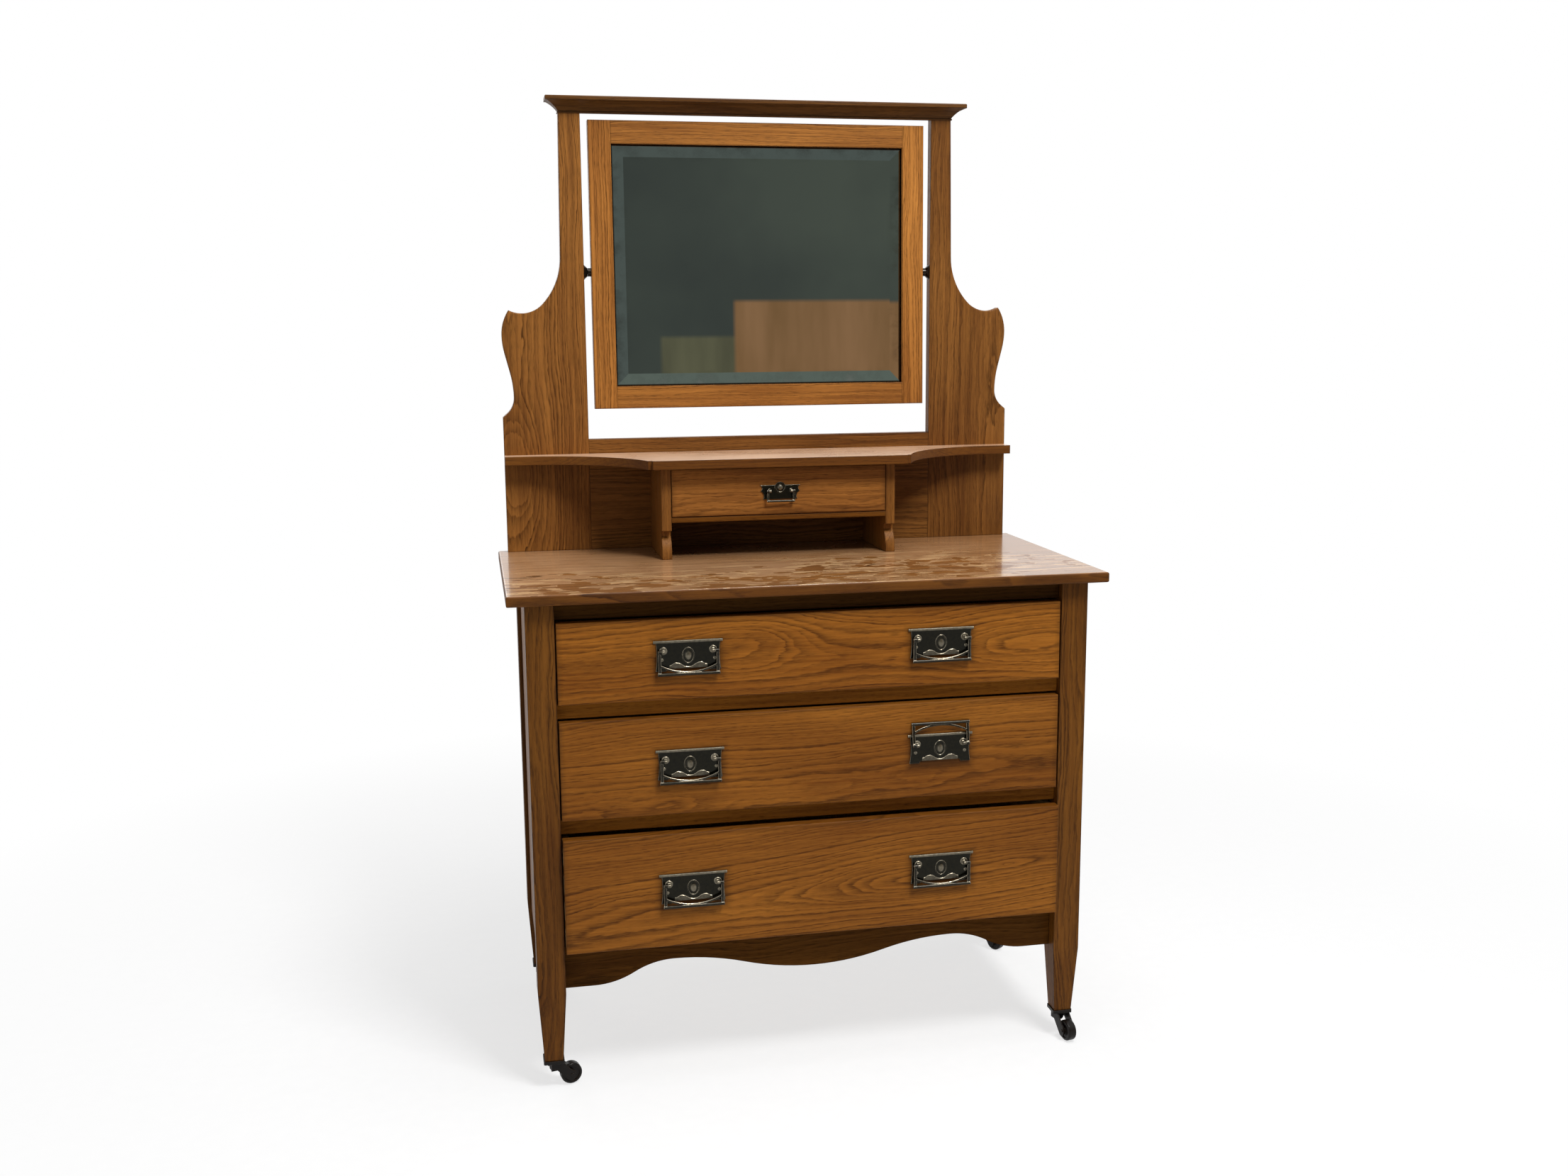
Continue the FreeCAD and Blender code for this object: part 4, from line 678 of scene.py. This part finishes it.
# %% [markdown]
# ## Screws at the back
#
# Nobody sees the back, so its thin boards are simply screwed on. A round screw head is a shallow
# dome. Its grid runs along the slot in one direction and across it in the other, so that the
# slot's walls lie on grid lines and stay sharp. One mesh holds all the screws of a board.

# %% Slotted screw heads
SCREW_RADIUS, SCREW_RISE, SCREW_SINK = 3.2 * MM, 1.5 * MM, 0.4 * MM
SLOT_HALF, SLOT_FLOOR, SLOT_ROWS = 0.13, 0.35, slice(6, 9)
MERGE = 0.001 * MM


def screw_head():
    """Grid of (along, across): across v, and along u times the disc's half width at v.

    The rise is the root of one minus the squared distance from the middle; in the slot it is
    pressed down to a share of that. The underside has the same outline, a little below zero.
    """
    v = np.array([-1, -0.92, -0.8, -0.6, -0.35, -SLOT_HALF, -SLOT_HALF, 0,
                  SLOT_HALF, SLOT_HALF, 0.35, 0.6, 0.8, 0.92, 1.0])[:, None]
    u = np.sin(np.linspace(-np.pi / 2, np.pi / 2, 17))[None, :]
    x, y = u * np.sqrt(1 - v ** 2), v + 0 * u
    dome = np.sqrt(np.clip(1 - x ** 2 - y ** 2, 0, 1))
    pressed = np.zeros(len(v))
    pressed[SLOT_ROWS] = 1
    top = dome * (1 - pressed[:, None] * (1 - SLOT_FLOOR)) * SCREW_RISE
    under = -dome * SCREW_SINK
    sheets = np.stack([np.stack([x * SCREW_RADIUS, y * SCREW_RADIUS, z], axis=-1)
                       for z in (top, under)])
    rows, columns = v.shape[0], u.shape[1]
    corner = (np.arange(rows - 1)[:, None] * columns + np.arange(columns - 1)).ravel()
    quads = np.stack([corner, corner + 1, corner + columns + 1, corner + columns], axis=1)
    return sheets.reshape(-1, 3), np.concatenate([quads, quads[:, ::-1] + rows * columns])


def screws(name, places, turns, lean, body, metal):
    """Copies the head to every place, each turned in its own plane, facing the back (Y)."""
    head, faces = screw_head()
    c, s = np.cos(turns)[:, None], np.sin(turns)[:, None]
    x = c * head[:, 0] - s * head[:, 1]
    z = s * head[:, 0] + c * head[:, 1]
    y = head[:, 2] + z * math.tan(lean)
    points = np.stack([x, y, z], axis=-1) + places[:, None, :]
    steps = (np.arange(len(places)) * len(head))[:, None, None]
    mesh = bpy.data.meshes.new(name)
    mesh.from_pydata(points.reshape(-1, 3).tolist(), [], (faces + steps).reshape(-1, 4).tolist())
    shaped = bmesh.new()
    shaped.from_mesh(mesh)
    bmesh.ops.remove_doubles(shaped, verts=shaped.verts, dist=MERGE)
    bmesh.ops.dissolve_degenerate(shaped, edges=shaped.edges, dist=MERGE)
    bmesh.ops.recalc_face_normals(shaped, faces=shaped.faces)
    shaped.to_mesh(mesh)
    shaped.free()
    mesh.materials.append(metal)
    piece = bpy.data.objects.new(name, mesh)
    bpy.context.collection.objects.link(piece)
    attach(piece, body)
    print(name, len(places), "screws,", len(mesh.polygons), "faces")


def screw_places(node, inset, across, lean):
    """Places along the four borders of a thin board's back, inset from its edges."""
    low, high = (np.array(corner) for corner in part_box(node))
    x = np.linspace(low[0] + inset, high[0] - inset, across)
    z = np.linspace(low[2] + inset, high[2] - inset, across)[1:-1]
    level = np.concatenate([np.stack([x, x * 0 + side], axis=1)
                            for side in (low[2] + inset, high[2] - inset)])
    upright = np.concatenate([np.stack([z * 0 + side, z], axis=1)
                              for side in (low[0] + inset, high[0] - inset)])
    flat = np.concatenate([level, upright])
    y = high[1] - (high[2] - flat[:, 1]) * math.tan(lean)
    return np.stack([flat[:, 0], y, flat[:, 1]], axis=1)


BACK_SCREWS = (
    # piece, its board, inset from the edges, screws along a side, lean, body that it rides on
    ("backboard_screws", "mirror_backboard", 9 * MM, 4, math.radians(1), "mirror"),
    ("back_panel_screws", "back_panel", 8 * MM, 5, 0.0, "case"))
chance = np.random.default_rng(7)
for name, node, inset, across, lean, body in BACK_SCREWS:
    places = screw_places(node, inset, across, lean)
    screws(name, places, chance.uniform(0, np.pi, len(places)), lean, body, iron)

# %% [markdown]
# ## Floor and room
#
# The chest stands on a plain pale floor. The floor's colour comes partly from light, so that it
# keeps a soft shadow, and partly from a glow seen only by the camera and in reflections, so that
# it runs out into the white world without a horizon. The world's own light is low and even.

# %% Floor
FLOOR_SIZE, FLOOR_LEVEL, FLOOR_GLOW = 14.0, -0.6 * MM, 0.7
FADE_BEGINS, FADE_ENDS = 0.7, 2.0       # how far from the middle the floor turns white, in metres
WHITE = (1, 1, 1, 1)


def seen_directly(w):
    """One where the camera, a reflection or clear glass looks, zero where light is gathered."""
    path = w.node("ShaderNodeLightPath").outputs
    seen = w.math("MAXIMUM", path["Is Camera Ray"], path["Is Glossy Ray"])
    return w.math("MAXIMUM", seen, path["Is Transmission Ray"])


bpy.ops.mesh.primitive_plane_add(size=FLOOR_SIZE, location=(0, 0, FLOOR_LEVEL))
floor = bpy.context.object
floor.name = "floor"
material, w, shader = new_material("pale_floor")
here = w.node("ShaderNodeTexCoord").outputs["Object"]
far = w.spread(w.vector("LENGTH", here), FADE_BEGINS, FADE_ENDS)
speck = w.spread(w.noise(here, 40.0, 3.0)["Fac"], 0.3, 0.7, 0.88, 0.92)
w.feed(shader.inputs["Base Color"], w.joined(speck, speck, speck))
shader.inputs["Roughness"].default_value = 0.9
shader.inputs["Specular IOR Level"].default_value = 0.0
glow = w.node("ShaderNodeEmission", {"Color": WHITE, "Strength": 1.0})
fadeout = w.math("MULTIPLY", seen_directly(w), w.spread(far, 0.0, 1.0, FLOOR_GLOW, 1.0))
blended = w.node("ShaderNodeMixShader", {0: fadeout, 1: shader.outputs[0], 2: glow.outputs[0]})
w.feed(material.node_tree.nodes["Material Output"].inputs["Surface"], blended.outputs[0])
floor.data.materials.append(material)
print("floor", FLOOR_SIZE, "m")

# %% World
WORLD_LIGHT = 0.17
world = bpy.data.worlds.new("studio")
bpy.context.scene.world = world
world.use_nodes = True
w = Wiring(world.node_tree)
back = world.node_tree.nodes["Background"]
back.inputs["Color"].default_value = WHITE
w.feed(back.inputs["Strength"], w.spread(seen_directly(w), 0.0, 1.0, WORLD_LIGHT, 1.0))
print("world light", WORLD_LIGHT)

# %% [markdown]
# ## What the mirror sees
#
# A mirror shows the room behind the camera. In an all-white studio it would vanish, so a dim wall
# stands there, as a photographer hangs a dark cloth. Only reflections see it: it casts no shadow
# and lights nothing. Its borders are lighter, because the mirror's bevels look a little aside and
# have to show as a line round the glass. Two plain boards lean against it, low on the right.

# %% A dim wall for reflections
WALL_Y, WALL_X, WALL_Z = -4.6, (-2.6, 4.4), (0.15, 3.6)
WALL_LEFT, WALL_RIGHT = (0.115, 0.125, 0.112, 1), (0.165, 0.178, 0.15, 1)
WALL_MOTTLE, WALL_BORDER = (0.08, 0.085, 0.085, 1), (0.18, 0.20, 0.19, 1)
WALL_FOOT = (0.25, 0.28, 0.25, 1)
LEANING_BOARDS = (
    # left edge, top edge, pale and deep colour
    (0.42, 1.26, (0.27, 0.24, 0.15, 1), (0.19, 0.17, 0.11, 1)),
    (0.78, 1.43, (0.60, 0.30, 0.15, 1), (0.44, 0.22, 0.10, 1)))
SOFT_EDGE = 0.02
bpy.ops.mesh.primitive_plane_add(size=1.0)
wall = bpy.context.object
wall.name = "dim_wall"
x, z = np.meshgrid(WALL_X, WALL_Z)
wall.data.vertices.foreach_set("co", np.stack([x, x * 0 + WALL_Y, z], axis=-1).ravel())
material, w, shader = new_material("dim_wall")
here = w.node("ShaderNodeTexCoord").outputs["Object"]
x, _, z = w.parts(here)
mottle = w.noise(here, 1.6, 3.0)["Fac"]
tint = w.mix(w.spread(x, -0.1, 1.6), WALL_LEFT, WALL_RIGHT)
tint = w.mix(w.spread(mottle, 0.35, 0.7, 0.0, 0.6), tint, WALL_MOTTLE)
grain = w.noise(w.vector("MULTIPLY", here, (9.0, 1.0, 1.6)), 1.0, 3.0)["Fac"]
for left, top, pale, deep in LEANING_BOARDS:
    board = w.mix(w.spread(grain, 0.3, 0.7), deep, pale)
    stands = w.math("MULTIPLY", w.spread(x, left, left + SOFT_EDGE),
                    w.spread(z, top, top - SOFT_EDGE))
    tint = w.mix(stands, tint, board)

# lighter beside, above and below what the flat glass sees, for the bevels
border = w.math("MAXIMUM", w.spread(x, 0.0, -0.30), w.spread(z, 2.45, 2.75))
tint = w.mix(border, tint, WALL_BORDER)
tint = w.mix(w.spread(z, 0.68, 0.45), tint, WALL_FOOT)
dim = w.node("ShaderNodeEmission", {"Color": tint, "Strength": 1.0})
w.feed(material.node_tree.nodes["Material Output"].inputs["Surface"], dim.outputs[0])
wall.data.materials.append(material)
for ray in ("camera", "diffuse", "transmission", "shadow", "volume_scatter"):
    setattr(wall, "visible_" + ray, False)
print("dim wall", len(LEANING_BOARDS), "boards against it")

# %% [markdown]
# ## Lamps
#
# A large soft lamp above and in front gives the light its direction, and one overhead spreads it.
# A weaker one from the left opens the shadows on that side, and one behind shows the back. With
# them, colours come out about as they are written.

# %% Lamps
LAMPS = (
    # name, place, the height on the chest that it faces, size (m), power (W)
    ("key", (0.9, -1.9, 3.6), 0.8, 1.0, 125),
    ("overhead", (0.2, -0.3, 3.4), 0.8, 1.4, 36),
    ("left_fill", (-3.0, -2.2, 1.6), 0.7, 2.0, 14),
    ("back_fill", (-1.6, 3.4, 2.4), 0.8, 2.4, 26))
for name, place, aim, size, watts in LAMPS:
    light = bpy.data.lights.new(name, "AREA")
    light.size = size
    light.energy = watts
    lamp = bpy.data.objects.new(name, light)
    lamp.location = place
    sight = Vector((0, 0, aim)) - Vector(place)
    lamp.rotation_euler = sight.to_track_quat("-Z", "Y").to_euler()
    bpy.context.collection.objects.link(lamp)
print("lamps", len(LAMPS))

# %% [markdown]
# ## Camera
#
# The camera stands a little to the left of the middle, above the dressing top, and looks slightly
# down. Its angles are a turn about the vertical, a tip, and a very small roll. Its focal length is
# measured against the width of the frame, both in points of the finished image.

# %% Camera
CAMERA_PLACE = (-0.4997, -2.4012, 1.1540)
CAMERA_TURN, CAMERA_TIP, CAMERA_ROLL = -11.571, -9.867, -0.391
FOCAL_LENGTH, FRAME_WIDTH, SENSOR_WIDTH = 2165.1, 2212, 36
camera = bpy.data.objects.new("camera", bpy.data.cameras.new("camera"))
bpy.context.collection.objects.link(camera)
camera.location = CAMERA_PLACE
turn = Euler((math.radians(90 + CAMERA_TIP), 0, math.radians(CAMERA_TURN)), "XYZ").to_quaternion()
roll = Euler((0, 0, math.radians(CAMERA_ROLL)), "XYZ").to_quaternion()
camera.rotation_euler = (turn @ roll).to_euler()
camera.data.lens = FOCAL_LENGTH * SENSOR_WIDTH / FRAME_WIDTH
camera.data.sensor_width = SENSOR_WIDTH
bpy.context.scene.camera = camera
bpy.context.scene.view_settings.view_transform = "Standard"
print("camera lens", round(camera.data.lens, 2), "mm")
